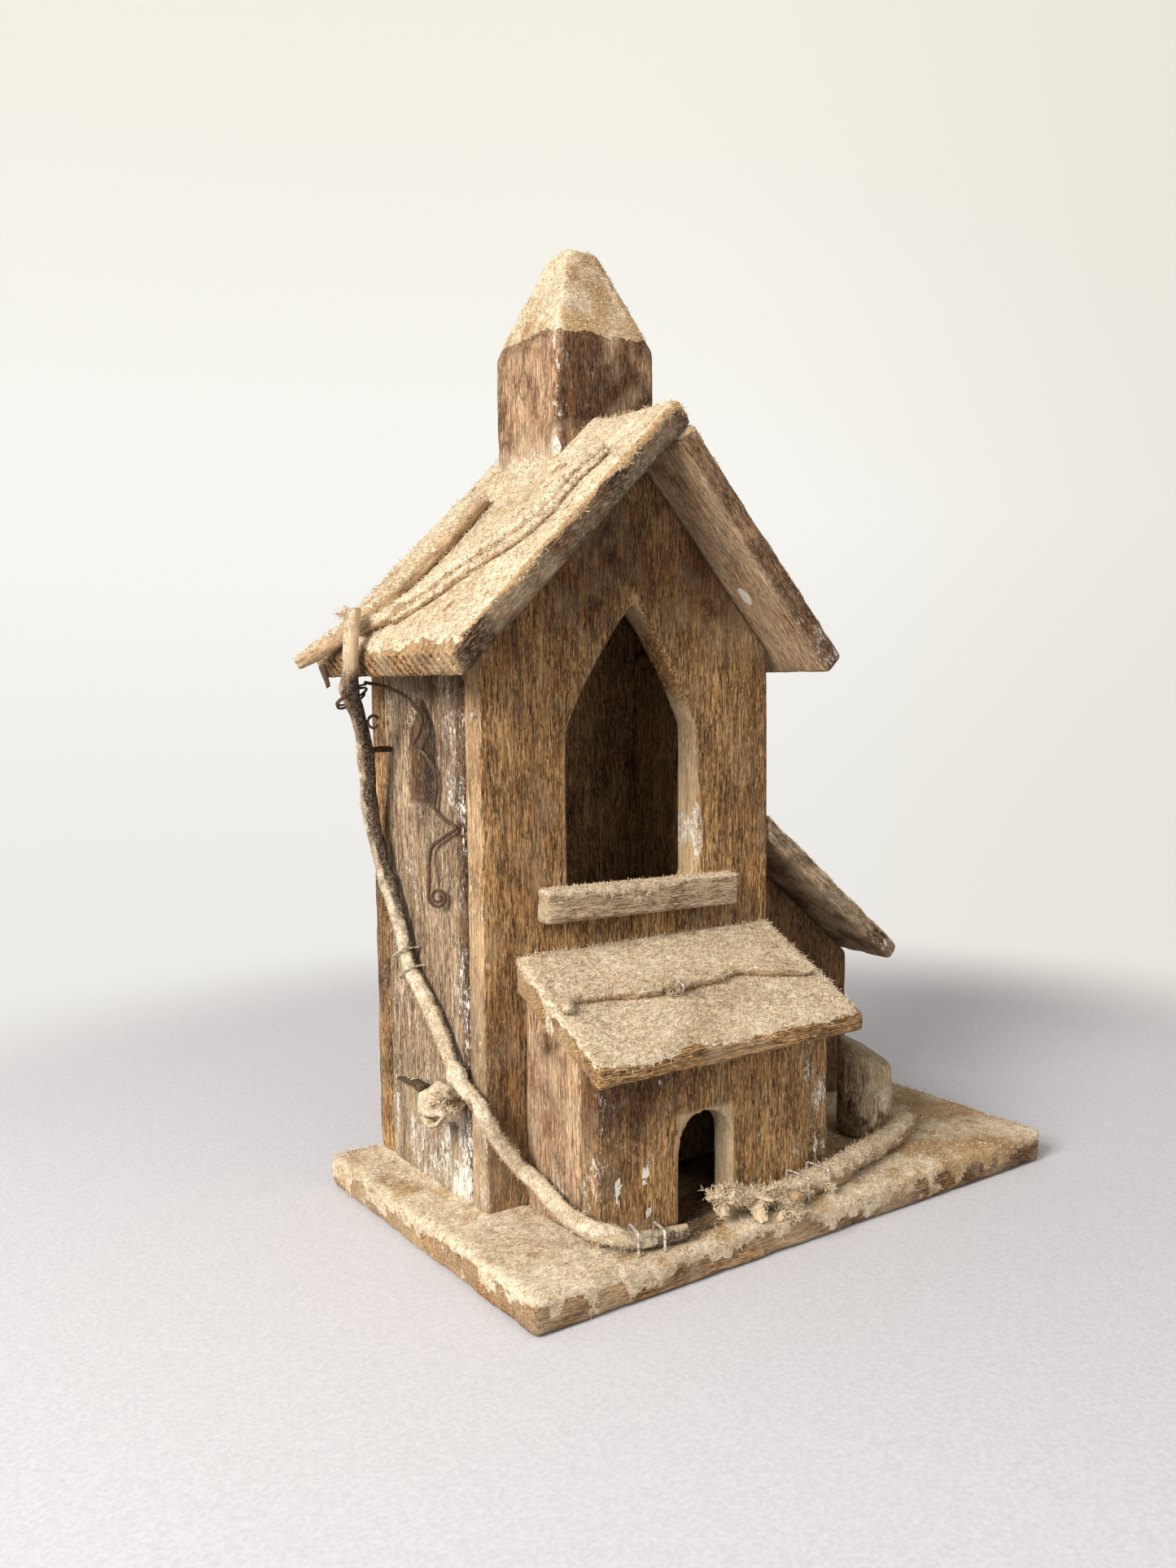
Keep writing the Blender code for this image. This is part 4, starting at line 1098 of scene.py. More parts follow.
front_wood = wood("front_wood", BROWN_TONES, 1, film=0.12, flecks=0.4)
left_wall_wood = wood("left_wall_wood", GREY_TONES, 2, film=0.22, flecks=1.2)
plain_wood = wood("plain_wood", BROWN_TONES, 3, film=0.30, flecks=0.4)
annex_wood = wood("annex_wood", DARK_TONES, 4, film=0.12, flecks=0.1)
annex_roof_wood = wood("annex_roof_wood", GREY_TONES, 5, along=0, turn=ANNEX_PITCH, film=0.4, flecks=0.9)
left_roof_wood = wood("left_roof_wood", BROWN_TONES, 6, along=0, turn=-LEFT_PITCH, film=0.35, flecks=0.3)
right_roof_wood = wood("right_roof_wood", PINK_TONES, 7, along=0, turn=RIGHT_PITCH, film=0.35, flecks=0.6)
steeple_wood = wood("steeple_wood", PINK_TONES, 8, film=0.2, flecks=0.9)
porch_wood = wood("porch_wood", BROWN_TONES, 9, film=0.16, flecks=1.2)
porch_side_wood = wood("porch_side_wood", PINK_TONES, 10, film=0.16, flecks=0.9)
porch_roof_wood = wood("porch_roof_wood", BROWN_TONES, 11, along=0, film=0.2, flecks=0.2)
perch_wood = wood("perch_wood", GREY_TONES, 12, along=0, film=0.5, flecks=0.5)
base_wood = wood("base_wood", BROWN_TONES, 13, along=0, film=0.35, flecks=0.4)
stump_wood = wood("stump_wood", GREY_TONES, 14, film=0.5, flecks=0.4)
BARK_TONES = (srgb(58, 42, 30), srgb(98, 75, 54), srgb(138, 111, 84), srgb(186, 162, 132))
STRAW_TONES = (srgb(84, 60, 38), srgb(148, 116, 80), srgb(188, 158, 120), srgb(222, 198, 162))
TORN_TONES = (srgb(112, 84, 54), srgb(182, 152, 114), srgb(220, 196, 160), srgb(246, 232, 206))
CURL_TONES = (srgb(34, 22, 13), srgb(58, 38, 23), srgb(84, 58, 36), srgb(122, 92, 62))
vine_bark = bark("vine_bark", BARK_TONES, 1, 0.3)
pale_bark = bark("pale_bark", STRAW_TONES, 2, 0.35)
torn_bark = bark("torn_bark", TORN_TONES, 4, 0.2)
curl_bark = bark("curl_bark", CURL_TONES, 3, 0.08)
felt_thread = thread("felt_thread", FELT_TONES)
wire = steel("wire")

# ---------------------------------------------------------------- boards

ALONG_X = (22.0, 1.6, 1.6)
base = worn_board("base_board", "dusty_wood", base_wood, 1, ALONG_X, voxel=1.0, felt=0.55, wear=0.8,
                  cover=base_cover, paint=scattered_paint(0.1), stain_and_shade=base_stain_and_shade,
                  pale=scattered_pale(0.25), heap=base_heap)
worn_board("front_panel", "brown_wood", front_wood, 2, voxel=0.85, wear=0.25, paint=front_panel_paint,
           stain_and_shade=front_panel_shade_and_stain, pale=front_panel_pale_and_painted_light)
worn_board("back_panel", "grey_wood", plain_wood, 3, voxel=1.0, paint=scattered_paint(0.2),
           stain_and_shade=spotty_stain(0.2))
worn_board("left_side_wall", "grey_wood", left_wall_wood, 4, voxel=0.7, wear=0.4,
           paint=left_wall_paint, stain_and_shade=left_wall_stain_and_eave_shade, pale=left_wall_pale)
worn_board("right_side_wall", "brown_wood", plain_wood, 5, voxel=1.0, paint=scattered_paint(0.15))
left_roof = worn_board("left_roof_board", "dusty_wood", left_roof_wood, 6, ALONG_X, -LEFT_PITCH, 0.75,
                       felt=0.6, wear=0.35, cover=left_roof_cover, heap=roof_heap,
                       stain_and_shade=left_roof_front_shade, pale=scattered_pale(0.1), carve=eave_saw_marks)
right_roof = worn_board("right_roof_board", "brown_wood", right_roof_wood, 7, ALONG_X, RIGHT_PITCH, 0.8,
                        felt=0.6, wear=0.5, cover=top_cover(0.38, 0.65), paint=roof_paint, heap=roof_heap,
                        stain_and_shade=roof_front_shade, pale=soffit_painted_light)
steeple = worn_board("steeple_block", "grey_wood", steeple_wood, 8, voxel=0.7, felt=0.28, wear=0.3,
                     cover=steeple_cover, paint=steeple_paint, stain_and_shade=steeple_stain_and_front_shade, pale=steeple_pale)
perch = worn_board("perch_bar", "dusty_wood", perch_wood, 9, ALONG_X, voxel=0.5, felt=0.3, wear=0.6,
                   cover=top_cover(0.2, 0.6, 0.5), paint=scattered_paint(0.3), pale=scattered_pale(0.4, 5.0))
worn_board("porch_front", "brown_wood", porch_wood, 10, voxel=0.65, groove=0.2, wear=0.35, paint=porch_paint,
           stain_and_shade=porch_shade_and_stain, pale=porch_pale)
worn_board("porch_left_wall", "brown_wood", porch_side_wood, 11, voxel=0.7, wear=0.35,
           paint=scattered_paint(0.12), stain_and_shade=spotty_stain(0.0, 8.0), pale=scattered_pale(0.25, 8.0))
worn_board("porch_right_wall", "brown_wood", porch_wood, 12, voxel=0.8)
porch_roof = worn_board("porch_roof_board", "dusty_wood", porch_roof_wood, 13, ALONG_X, voxel=0.7,
                        felt=0.55, wear=0.5, cover=porch_roof_cover, pale=scattered_pale(0.1))
worn_board("annex_front_wall", "brown_wood", annex_wood, 14, voxel=0.9)
worn_board("annex_side_wall", "brown_wood", annex_wood, 15, voxel=0.9, paint=scattered_paint(0.1))
worn_board("annex_back_wall", "grey_wood", plain_wood, 16, voxel=0.9, paint=scattered_paint(0.1))
annex_roof = worn_board("annex_roof_board", "grey_wood", annex_roof_wood, 17, ALONG_X, ANNEX_PITCH, 0.8,
                        felt=0.5, wear=0.7, cover=top_cover(0.35, 0.65), paint=roof_paint,
                        stain_and_shade=spotty_stain(0.4, 8.0), pale=scattered_pale(0.2, 7.0))
worn_board("log_stump", "bark", stump_wood, 18, voxel=0.6, wear=1.0, groove=0.3,
           cover=stump_cover, stain_and_shade=stump_stain, pale=scattered_pale(0.45, 8.0))

# ---------------------------------------------------------------- fuzz

LONG = (0.9, 2.6)
SHORT = (0.5, 1.5)
for piece, count, length in ((base, 16000, LONG), (left_roof, 15000, LONG), (porch_roof, 15000, LONG),
                             (right_roof, 9000, SHORT), (annex_roof, 7000, SHORT), (steeple, 7000, SHORT),
                             (perch, 3000, SHORT)):
    fuzz(piece.name.replace("_wood", "_fuzz"), [piece], count, 100 + count, felt_thread, "dusty_wood", length)

# ---------------------------------------------------------------- stems on the walls and roofs

MAIN_VINE = ((-99.6, 21.0, 171.5), (-99.9, 21.5, 159.0), (-97.5, 28.2, 149.3), (-93.8, 31.5, 142.3),
             (-89.6, 36.3, 133.0), (-86.0, 41.5, 114.0), (-84.4, 39.5, 102.0), (-83.4, 30.4, 85.0),
             (-83.2, 23.0, 71.0), (-83.2, 9.8, 60.2), (-83.4, -2.0, 47.8), (-83.5, -9.8, 43.2),
             (-83.0, -15.0, 40.0), (-79.5, -16.0, 33.6), (-75.0, -16.6, 27.0), (-71.4, -19.4, 21.8),
             (-71.2, -28.5, 19.3), (-71.4, -38.0, 17.0), (-70.5, -46.5, 16.4), (-66.5, -49.6, 15.2),
             (-62.0, -50.8, 13.2), (-56.0, -52.0, 12.3), (-46.0, -53.6, 12.3))
KNOT = ((-85.0, -2.6, 39.6), (-85.6, 2.5, 38.6), (-85.8, 8.0, 37.4))
SIDE_SHOOT = ((-84.6, 13.0, 39.2), (-84.2, 20.0, 39.3), (-83.0, 28.0, 37.8), (-82.2, 34.5, 36.5))
PEG = ((-80.3, 39.5, 132.3), (-83.5, 38.8, 132.4), (-86.7, 37.8, 132.3))
TENDRIL = ((-93.0, 28.6, 151.6), (-88.0, 27.0, 150.5), (-83.6, 23.7, 148.0), (-82.0, 19.2, 144.4),
           (-81.7, 16.7, 140.9), (-81.6, 19.3, 136.6), (-81.6, 22.0, 134.3), (-81.6, 15.6, 131.8),
           (-81.6, 10.1, 127.8), (-81.6, 9.0, 123.5), (-81.6, 10.3, 117.5), (-81.6, 5.6, 114.9),
           (-81.6, -1.0, 112.9), (-81.6, 5.3, 109.9), (-81.8, 12.2, 106.3), (-82.8, 12.0, 101.0),
           (-84.6, 9.2, 93.5))
FRONT_TWIG = ((80.4, 26.0), (74.9, 16.4), (66.9, 7.6), (58.6, 1.0), (51.5, -6.5), (44.0, -13.6),
              (35.3, -15.8), (21.0, -15.2), (11.9, -18.0))
REAR_TWIG = ((93.4, 47.5), (89.0, 41.4), (83.3, 36.0), (73.8, 31.5), (66.1, 27.0), (47.6, 24.2), (26.0, 25.0))
PORCH_TWIG_LEFT = ((-71.6, -38.3), (-68.5, -35.0), (-60.7, -34.3), (-51.3, -35.6), (-41.0, -36.9))
PORCH_TWIG_RIGHT = ((-37.5, -37.4), (-33.1, -36.6), (-21.3, -36.0), (-13.7, -34.4), (-1.8, -37.4),
                    (10.0, -40.4))
BRANCH = ((-12.0, -51.4), (0.5, -50.0), (12.0, -49.2), (25.0, -45.2), (38.0, -41.8), (48.7, -38.6),
          (59.0, -33.2))
BRANCH_Z = 13.0


def on_left_roof(places, radius, lift=0.3):
    """(distance down the slope, y) pairs as points of a stem lying on the left roof board."""
    points = []
    for along, y in places:
        height = ROOF + radius + lift
        points.append((RIDGE_X - along * math.cos(LEFT_PITCH) - height * math.sin(LEFT_PITCH), y,
                       RIDGE_Z - along * math.sin(LEFT_PITCH) + height * math.cos(LEFT_PITCH)))
    return points


def on_porch_roof(places, radius):
    """(x, y) pairs as points of a stem lying on the porch roof."""
    lift = (radius + 0.3) / math.cos(PORCH_PITCH)
    return [(x, y, porch_roof_height(y) + lift) for x, y in places]


PALE_STEM = ("pale_stem", pale_bark)
DARK_STEM = ("bark", curl_bark)
KNOT_CURL = ((-88.0, 6.5, 34.6), (-88.9, 4.0, 33.6), (-89.2, 0.8, 33.4), (-89.0, -2.2, 34.4),
             (-88.2, -3.6, 36.4))
HANGING_SHOOT = ((-100.4, 39.5, 156.2), (-100.3, 38.0, 153.5), (-100.0, 37.0, 150.5))
STUB = ((-10.4, -54.4, 13.0), (-10.5, -56.0, 13.1), (-10.6, -57.6, 13.2))


def straight_path(points):
    """The points joined without smoothing."""
    return [Vector(point) for point in points]


vine = stem("main_vine_stem", smooth_path(MAIN_VINE), (2.1, 2.2, 2.3, 2.2, 2.2, 2.1, 2.2, 2.3, 2.2), 31,
            "bark", vine_bark, ["main_vine"], vine_cover, vine_peel, vine_shaded_side, sides=20,
            swell=((0.36, 0.5, 2.0), (0.62, 0.6, 2.5), (0.1, 0.5, 2.5)))
stem("vine_knot_wood", smooth_path(KNOT), (3.2, 4.3, 4.3, 3.4), 32, *PALE_STEM, ["vine_knot"], knot_crust_and_hollow_shade,
     lump=0.42, ridge=0.3, step=0.35, sides=26, felt=0.5)
stem("knot_curl_stem", straight_path(KNOT_CURL), (1.3, 1.5, 1.3, 0.7), 46, *PALE_STEM, (),
     side_cover((-0.3, 0.0, 1.0), -0.4, 0.6), step=0.3, lump=0.2, flat=0.5)
stem("vine_side_shoot_stem", smooth_path(SIDE_SHOOT), (1.9, 1.6, 1.3, 0.7), 33, *DARK_STEM,
     ["vine_side_shoot"], side_cover((0.0, 0.0, 1.0), 0.9, 1.4), step=0.4, lump=0.3, flat=0.7)
stem("vine_peg_stem", smooth_path(PEG), (0.9, 0.8), 34, *DARK_STEM, ["vine_peg"], step=0.3)


def tendril_path():
    """The tendril, ending in a spiral that tightens as it goes down."""
    path = smooth_path(TENDRIL, 5)
    across = Vector((0.6, -0.8, 0.0))
    wide, tight, turns, points = 2.8, 0.9, 1.6, 30
    middle = Vector(TENDRIL[-1]) + across * wide
    for step in range(1, points + 1):
        share = step / points
        angle = 2 * math.pi * turns * share
        radius = wide + (tight - wide) * share
        path.append(middle - across * radius * math.cos(angle) - Vector((0.0, 0.0, radius * math.sin(angle))))
    return path


def coil_path():
    """Nearly two uneven loops that stand at the eave."""
    turns, points = 1.9, 60
    path = []
    for step in range(points + 1):
        share = step / points
        angle = 2 * math.pi * turns * share
        reach = 4.9 + 0.5 * math.sin(2.3 * angle)
        path.append(Vector((-96.9 + 0.8 * reach * math.cos(angle), 28.6 + 0.6 * reach * math.sin(angle),
                            147.6 + 2.6 * math.cos(angle + 0.9) + 1.6 * (share - 0.5))))
    return path


def small_curl_path():
    """Most of a small ring, in a plane across the wall."""
    radius, points = 1.7, 18
    path = []
    for step in range(points + 1):
        angle = math.radians(30 + 300 * step / points)
        path.append(Vector((-89.6 + radius * math.cos(angle), 30.4, 140.6 + radius * math.sin(angle))))
    return path


stem("tendril_stem", tendril_path(), (0.52, 0.54, 0.50, 0.54, 0.42), 35, *DARK_STEM, ["tendril"], sides=10,
     step=0.35, felt=0.0, ridge=0.08, lump=0.08)
stem("eave_coil_stem", coil_path(), (0.36, 0.36, 0.28), 36, *DARK_STEM, ["eave_coil"], sides=8, step=0.35,
     felt=0.0)
stem("small_curl_stem", small_curl_path(), (0.42, 0.34), 37, *DARK_STEM, ["small_curl"], sides=8, step=0.3,
     felt=0.0)
stem("hanging_shoot_stem", smooth_path(HANGING_SHOOT), (1.1, 0.9, 0.6), 38, *DARK_STEM, ["hanging_shoot"],
     sides=10, step=0.3)

rib_cover = side_cover((-0.3, 0.0, 1.0), -0.2, 0.4)
second_cover = side_cover((-0.3, 0.0, 1.0), -0.3, 0.3)
rear_cover = side_cover((-0.2, 0.0, 1.0), 0.3, 0.9)
porch_twig_cover = side_cover((0.0, 0.0, 1.0), -0.1, 0.6)
branch_cover = side_cover((-0.2, -0.2, 1.0), 0.0, 0.6)
SECOND_RIB = [(along + 2.0, y - 3.0) for along, y in FRONT_TWIG[1:]]
roof_rib = stem("front_roof_twig_stem", smooth_path(on_left_roof(FRONT_TWIG, 2.0)),
                (1.9, 2.0, 1.9, 1.7, 1.3), 39, *PALE_STEM, ["front_roof_twig"], rib_cover, felt=0.6,
                lump=0.22)
second_rib = stem("front_roof_twig_rib", smooth_path(on_left_roof(SECOND_RIB, 1.2, 0.0)),
                  (0.8, 1.2, 1.3, 1.0, 0.7), 40, *PALE_STEM, (), second_cover, felt=0.5, lump=0.3)
rear_rib = stem("rear_roof_twig_stem", smooth_path(on_left_roof(REAR_TWIG, 2.4)),
                (1.9, 2.3, 2.4, 2.2, 1.7), 41, *PALE_STEM, ["rear_roof_twig"], rear_cover, felt=0.4)
porch_left = stem("porch_twig_left_stem", smooth_path(on_porch_roof(PORCH_TWIG_LEFT, 1.2)),
                  (0.9, 1.2, 1.3, 1.0), 42, *PALE_STEM, ["porch_twig_left"], porch_twig_cover, felt=0.4,
                  lump=0.3)
porch_right = stem("porch_twig_right_stem", smooth_path(on_porch_roof(PORCH_TWIG_RIGHT, 1.2)),
                   (1.3, 1.0, 1.2, 1.2, 0.8), 43, *PALE_STEM, ["porch_twig_right"], porch_twig_cover,
                   felt=0.4, lump=0.3)
branch = stem("base_branch_stem", smooth_path([(x, y, BRANCH_Z) for x, y in BRANCH]),
              (2.5, 3.2, 3.2, 3.0, 3.2, 2.9, 3.0), 44, *PALE_STEM, ["base_branch"], branch_cover, felt=0.6,
              lump=0.18, sides=24)
stub = stem("branch_stub_wood", straight_path(STUB), (1.9, 1.95, 1.8), 45, *PALE_STEM, ["branch_stub"],
            step=0.3, ridge=0.08, lump=0.08, felt=0.1)

fuzz("vine_fuzz", [vine], 5000, 201, felt_thread, "pale_stem", length=(0.6, 1.6), radius=0.05)
fuzz("roof_twig_fuzz", [roof_rib, second_rib, rear_rib], 6000, 202, felt_thread, "dusty_wood",
     length=(0.7, 2.0))
fuzz("porch_twig_fuzz", [porch_left, porch_right], 2400, 203, felt_thread, "dusty_wood", length=(0.7, 1.8))
fuzz("branch_fuzz", [branch, stub], 4500, 204, felt_thread, "pale_stem", length=(0.7, 2.2))


# ---------------------------------------------------------------- torn bark

def joined(first, others):
    """One object from several."""
    chosen = [first] + others
    with bpy.context.temp_override(active_object=first, object=first, selected_objects=chosen,
                                   selected_editable_objects=chosen):
        bpy.ops.object.join()
    return first


def torn_strips(name, middle, heading, count, lengths, width, spread, curl, seed, material, slot):
    """Curled strips of bark and thick fibres that fan out from one place."""
    rng = np.random.default_rng(seed)
    heading = Vector(heading).normalized()
    strips = []
    for index in range(count):
        wild = Vector(rng.normal(0.0, spread, 3).tolist())
        way = (heading + wild).normalized()
        bend = Vector(rng.normal(0.0, curl, 3).tolist())
        bend = bend - way * bend.dot(way)
        length = float(rng.uniform(*lengths))
        place = Vector(middle) + Vector(rng.normal(0.0, width * 0.7, 3).tolist())
        path = [place]
        for _ in range(8):
            way = (way + bend * 0.28).normalized()
            path.append(path[-1] + way * length / 8)
        thick = float(rng.uniform(0.35, 1.0)) * width
        mesh = stem_mesh(name, path, (thick * 0.8, thick, thick * 0.95, thick * 0.5), seed + index,
                         sides=12, step=0.3, ridge=0.35, lump=0.3, flat=0.28)
        strip = new_object(f"{name}_{index}", mesh)
        places = places_of(mesh)
        dust = ease(rough_noise(places, 1.2, seed + 70 + index), -0.4, 0.5)
        put_masks(mesh, dust, 0.7 + 0.3 * noise(places, 2.0, seed))
        strips.append(strip)
    whole = joined(strips[0], strips[1:])
    whole.name = name
    return finish_piece(whole, material, slot)


def lobe_cover(places, normals, seed):
    """Fibres all over the torn bark, thin in places."""
    return np.clip(0.75 + 0.5 * rough_noise(places, 1.3, seed + DUST), 0, 1)


def lobe_paint(places, normals, seed):
    """Mostly peeled."""
    return np.clip(0.7 + 0.4 * rough_noise(places, 2.0, seed + PAINT), 0, 1)


LOBE = ((-11.5, -51.4, 13.2), (-17.0, -51.0, 14.2), (-23.0, -51.2, 15.0), (-29.0, -50.6, 15.8),
        (-33.5, -50.0, 17.2))
DROP = ((-15.0, -51.6, 14.0), (-14.2, -54.4, 12.8), (-13.0, -57.0, 11.0), (-12.2, -58.4, 9.6))
TORN = (torn_bark, "pale_stem")
PEELED = (pale_bark, "pale_stem")
TWIG_TEAR = on_left_roof([(52.0, -7.5)], 1.5)[0]
PORCH_TEAR = on_porch_roof([(-38.5, -37.2)], 1.0)[0]
STRIPS = (
    # name, middle, heading, how many, their lengths, width, spread, curl, seed, material, slot
    ("branch_torn_end", (-20.0, -52.2, 15.0), (-0.9, -0.25, 0.2), 13, (3.5, 7.0), 1.7, 0.4, 1.8, 501, *TORN),
    ("branch_torn_fan", (-31.5, -50.6, 16.2), (-0.9, -0.1, 0.4), 12, (3.0, 5.0), 1.6, 0.45, 1.8, 508, *TORN),
    ("branch_torn_strip", (-13.5, -56.0, 11.6), (0.2, -0.8, -0.4), 8, (2.5, 4.5), 1.4, 0.45, 1.8, 502, *TORN),
    ("staple_flakes_1", (-5.0, -53.4, 12.6), (0.1, -0.5, 0.6), 5, (1.6, 3.0), 0.8, 0.7, 1.8, 509, *TORN),
    ("staple_flakes_2", (3.5, -52.6, 12.6), (0.1, -0.5, 0.6), 5, (1.6, 3.0), 0.8, 0.7, 1.8, 510, *TORN),
    ("knot_flakes", (-87.6, -2.5, 41.0), (-0.6, -0.5, 0.6), 9, (2.0, 4.5), 1.2, 0.6, 1.5, 503, *PEELED),
    ("hook_flakes", (-100.2, 21.0, 168.0), (-0.3, 0.2, 1.0), 5, (3.0, 5.0), 0.7, 0.4, 1.0, 504, *PEELED),
    ("twig_flakes", TWIG_TEAR, (0.3, -0.6, 0.4), 6, (3.0, 6.0), 0.7, 0.6, 1.2, 505, curl_bark, "bark"),
    ("porch_twig_flakes", PORCH_TEAR, (0.1, 0.2, 0.8), 6, (2.0, 4.0), 0.7, 0.8, 1.2, 506, pale_bark,
     "dusty_wood"))

torn_lobe = stem("branch_torn_lobe", smooth_path(LOBE), (2.6, 2.5, 2.8, 3.5, 2.4), 47, "pale_stem",
                 torn_bark, (), lobe_cover, lobe_paint, step=0.35, sides=26, lump=0.45, ridge=0.45, flat=0.6)
torn_drop = stem("branch_torn_drop", smooth_path(DROP), (2.0, 2.3, 1.9, 1.0), 48, "pale_stem",
                 torn_bark, (), lobe_cover, lobe_paint, step=0.35, sides=24, lump=0.45, ridge=0.45, flat=0.6)
frayed = [torn_strips(*row) for row in STRIPS]
fuzz("torn_lobe_fuzz", [torn_lobe, torn_drop], 1800, 511, felt_thread, "pale_stem", length=(1.0, 3.0),
     radius=0.1, stand=0.6, low=0.2)
fuzz("torn_fuzz", frayed, 4200, 507, felt_thread, "pale_stem", length=(0.8, 2.6), radius=0.08, stand=0.5,
     low=0.2)

# ---------------------------------------------------------------- staples

SHOULDER = 0.7                   # the radius of a staple's bends


def staple(node_name, middle, along, away, stem_radius, surface):
    """Bent wire over a stem: legs into the board, square shoulders and a flat crown."""
    away = Vector(away).normalized()
    across = Vector(along).cross(away).normalized()
    middle = Vector(middle)
    reach = stem_radius + 0.7
    crown = stem_radius + 0.75
    leg = surface - 0.3
    side = [(reach, -leg), (reach, crown * 0.5)]
    for step in range(4):
        angle = math.pi / 2 * step / 3
        side.append((reach - SHOULDER * (1 - math.cos(angle)), crown - SHOULDER * (1 - math.sin(angle))))
    path = [middle - across * out + away * up for out, up in side]
    path += [middle + across * out + away * up for out, up in reversed(side)]
    stem(node_name + "_wire", path, (0.4, 0.4), len(node_name), "steel_wire", wire, [node_name], sides=10,
         step=0.25, ridge=0.0, lump=0.02, felt=0.0, flat=0.75)


WALL = (-1.0, 0.0, 0.0)
UP = (0.0, 0.0, 1.0)
PORCH_UP = (0.0, -0.41, 0.91)
PORCH_STAPLE = on_porch_roof([(-35.4, -36.9)], 1.2)[0]
STAPLES = (
    # name, middle, the stem's direction, away from the board, the stem's radius, depth to the board
    ("vine_staple_1", (-83.3, 25.6, 75.5), (0.0, -0.50, -0.86), WALL, 2.3, 3.3),
    ("vine_staple_2", (-83.2, 22.6, 70.4), (0.0, -0.62, -0.78), WALL, 2.3, 3.2),
    ("vine_staple_3", (-61.0, -51.0, 13.0), (0.94, -0.25, -0.2), UP, 2.3, 3.4),
    ("vine_staple_4", (-54.0, -52.3, 12.3), (1.0, -0.18, 0.0), UP, 2.3, 2.7),
    ("branch_staple_1", (-5.0, -50.8, BRANCH_Z), (1.0, 0.10, 0.0), UP, 3.2, 3.5),
    ("branch_staple_2", (3.5, -49.9, BRANCH_Z), (1.0, 0.10, 0.0), UP, 3.2, 3.5),
    ("porch_staple", PORCH_STAPLE, (1.0, 0.15, 0.0), PORCH_UP, 1.2, 1.5))
for row in STAPLES:
    staple(*row)
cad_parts["corner_brad"].data.materials.clear()
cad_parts["corner_brad"].data.materials.append(wire)

# ---------------------------------------------------------------- floor, light and camera, in metres

FLOOR_LEVEL = -0.0002
FLOOR_HALF = 1.5
FADE_START = 0.24
FADE_END = 0.40
LIT_POINT = (0.0, 0.0, 0.12)


def floor_material():
    """Pale and plain, fading into the background away from the object."""
    material, tree, shader = start_material("floor_pale")
    place = node(tree, "ShaderNodeTexCoord").outputs["Object"]
    off = node(tree, "ShaderNodeVectorMath", {0: place}, operation="LENGTH").outputs["Value"]
    faded = between(tree, off, FADE_START, FADE_END)
    weave = grain_noise(tree, millimetres(tree), 1.1, 3.0, 0.6, 0.0, 3.0)
    colour = ramp(tree, weave, (0.3, srgb(182, 179, 181)), (0.7, srgb(196, 193, 195)))
    tree.links.new(colour, shader.inputs["Base Color"])
    shader.inputs["Roughness"].default_value = 0.9
    shader.inputs["Specular IOR Level"].default_value = 0.1
    clear = node(tree, "ShaderNodeBsdfTransparent")
    both = node(tree, "ShaderNodeMixShader", {0: faded, 1: shader.outputs[0], 2: clear.outputs[0]})
    output = next(n for n in tree.nodes if n.type == "OUTPUT_MATERIAL")
    tree.links.new(both.outputs[0], output.inputs[0])
    return material


def make_floor():
    """A square floor far larger than the birdhouse."""
    mesh = bpy.data.meshes.new("floor")
    corners = [(-1, -1), (1, -1), (1, 1), (-1, 1)]
    mesh.from_pydata([(x * FLOOR_HALF, y * FLOOR_HALF, FLOOR_LEVEL) for x, y in corners], [], [(0, 1, 2, 3)])
    floor = new_object("floor", mesh)
    mesh.materials.append(floor_material())


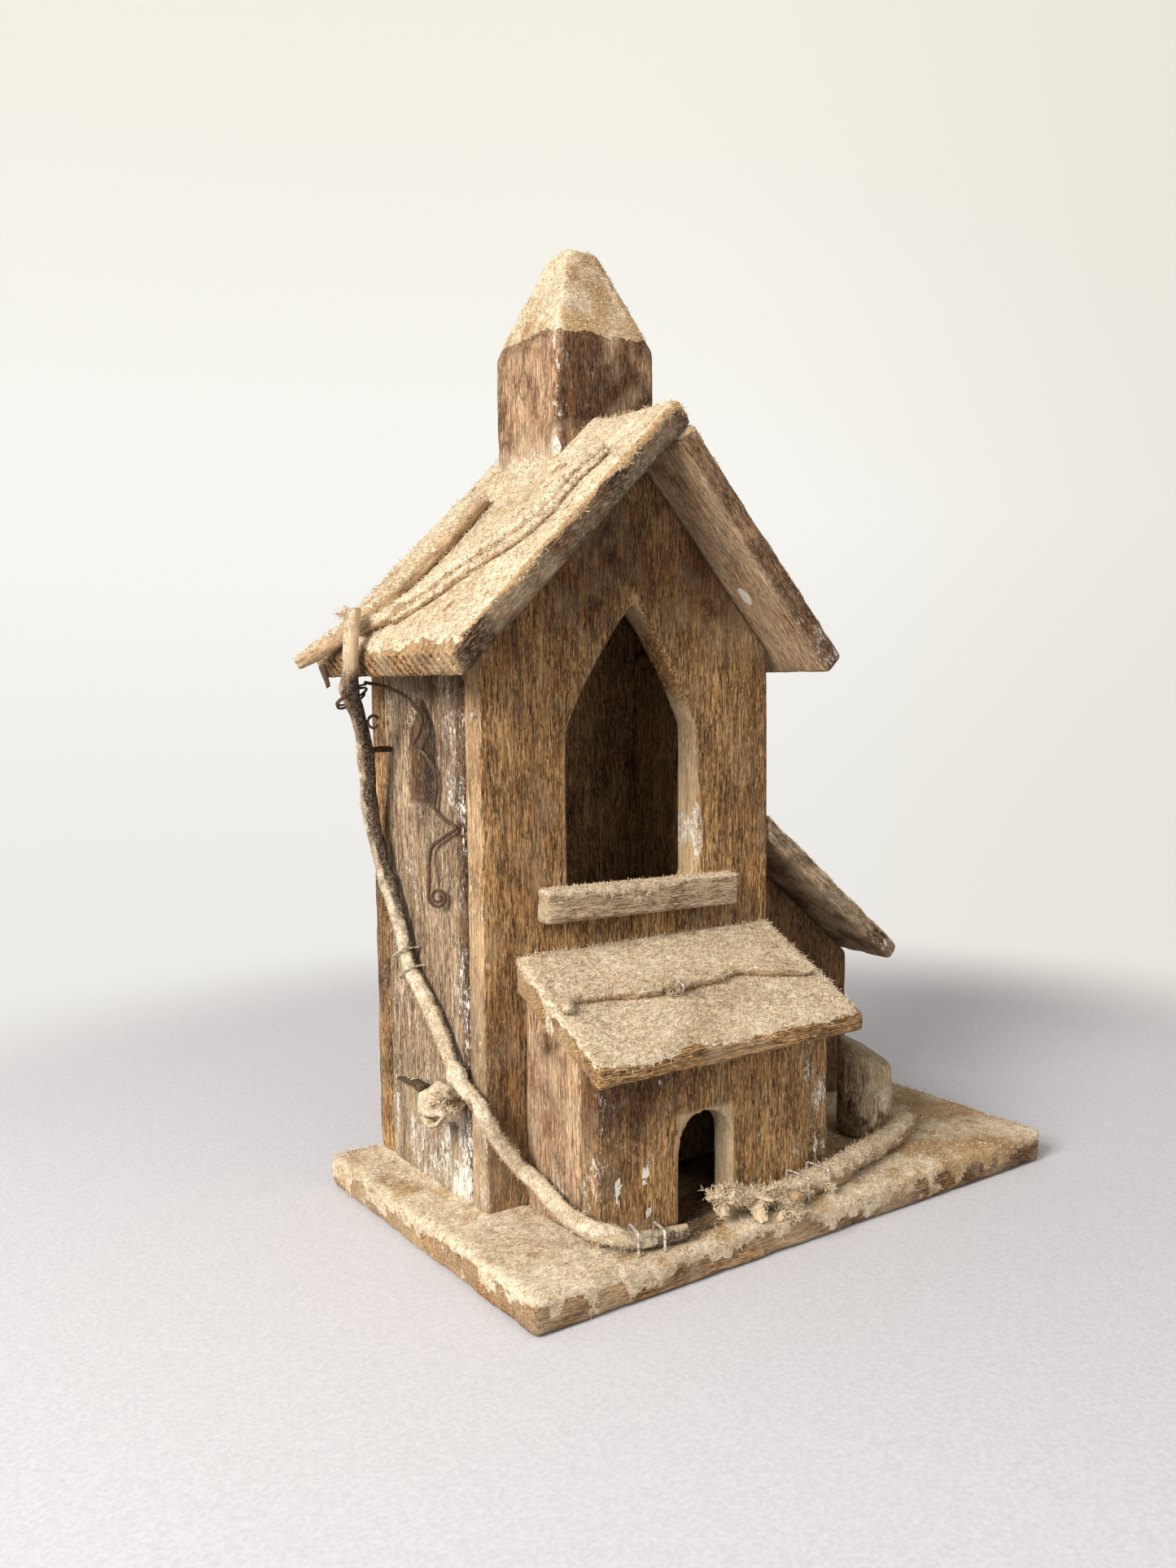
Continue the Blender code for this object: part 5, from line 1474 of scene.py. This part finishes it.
def make_world():
    """A pale studio: the camera sees cream, darker towards its right as a painted shadow on the backdrop; the
    object is lit from all round, mostly from the left.
    """
    world = bpy.data.worlds.new("studio")
    bpy.context.scene.world = world
    world.use_nodes = True
    tree = world.node_tree
    tree.nodes.clear()
    output = node(tree, "ShaderNodeOutputWorld")
    direction = node(tree, "ShaderNodeTexCoord").outputs["Generated"]
    axes = node(tree, "ShaderNodeSeparateXYZ", {0: direction})
    side = between(tree, axes.outputs[0], -1.0, 1.0)
    glow = ramp(tree, side, (0.0, (1.0, 0.99, 0.97, 1.0)), (1.0, (0.50, 0.49, 0.47, 1.0)))
    height = between(tree, axes.outputs[2], -0.2, 0.6)
    seen = ramp(tree, height, (0.0, srgb(238, 236, 232)), (0.35, srgb(249, 248, 244)),
                (1.0, srgb(241, 238, 225)))
    yaw = math.radians(CAMERA_YAW)
    rightward = node(tree, "ShaderNodeVectorMath", {0: direction, 1: (math.cos(yaw), -math.sin(yaw), 0.0)},
                     operation="DOT_PRODUCT").outputs["Value"]
    # Darker towards the camera's right: a painted shadow of the birdhouse on the backdrop.
    seen = blended(tree, between(tree, rightward, 0.0, 0.5, 0.0, 0.7), seen, srgb(228, 224, 213))
    light = node(tree, "ShaderNodeBackground", {0: glow, 1: 0.80})
    view = node(tree, "ShaderNodeBackground", {0: seen, 1: 1.0})
    is_camera = node(tree, "ShaderNodeLightPath").outputs["Is Camera Ray"]
    mixed = node(tree, "ShaderNodeMixShader", {0: is_camera, 1: light.outputs[0], 2: view.outputs[0]})
    tree.links.new(mixed.outputs[0], output.inputs[0])


def area_light(name, place, size, power, colour=(1.0, 1.0, 1.0)):
    """A round soft light that shines at the birdhouse and that the camera does not see."""
    data = bpy.data.lights.new(name, "AREA")
    data.shape = "DISK"
    data.size = size
    data.energy = power
    data.color = colour
    light = new_object(name, data)
    light.location = place
    light.rotation_euler = (Vector(LIT_POINT) - Vector(place)).to_track_quat("-Z", "Y").to_euler()
    light.visible_camera = False


def make_camera():
    """The camera from its place, direction and roll."""
    data = bpy.data.cameras.new("camera")
    camera = new_object("camera", data)
    data.lens = CAMERA_LENS
    data.sensor_width = SENSOR
    data.clip_start = 0.01
    yaw, pitch, roll = (math.radians(value) for value in (CAMERA_YAW, CAMERA_PITCH, CAMERA_ROLL))
    forward = Vector((math.sin(yaw) * math.cos(pitch), math.cos(yaw) * math.cos(pitch), math.sin(pitch)))
    level = Vector((math.cos(yaw), -math.sin(yaw), 0.0))
    upright = level.cross(forward)
    right = level * math.cos(roll) + upright * math.sin(roll)
    up = upright * math.cos(roll) - level * math.sin(roll)
    turn = Matrix((right, up, -forward)).transposed().to_4x4()
    camera.matrix_world = Matrix.Translation(CAMERA_PLACE) @ turn
    bpy.context.scene.camera = camera


make_floor()
make_world()
area_light("key", (-1.10, -0.32, 0.68), 0.55, 27.0, (1.0, 0.985, 0.96))
area_light("fill", (0.1, -0.9, 0.5), 0.9, 1.6)
make_camera()
bpy.context.scene.view_settings.view_transform = "Standard"
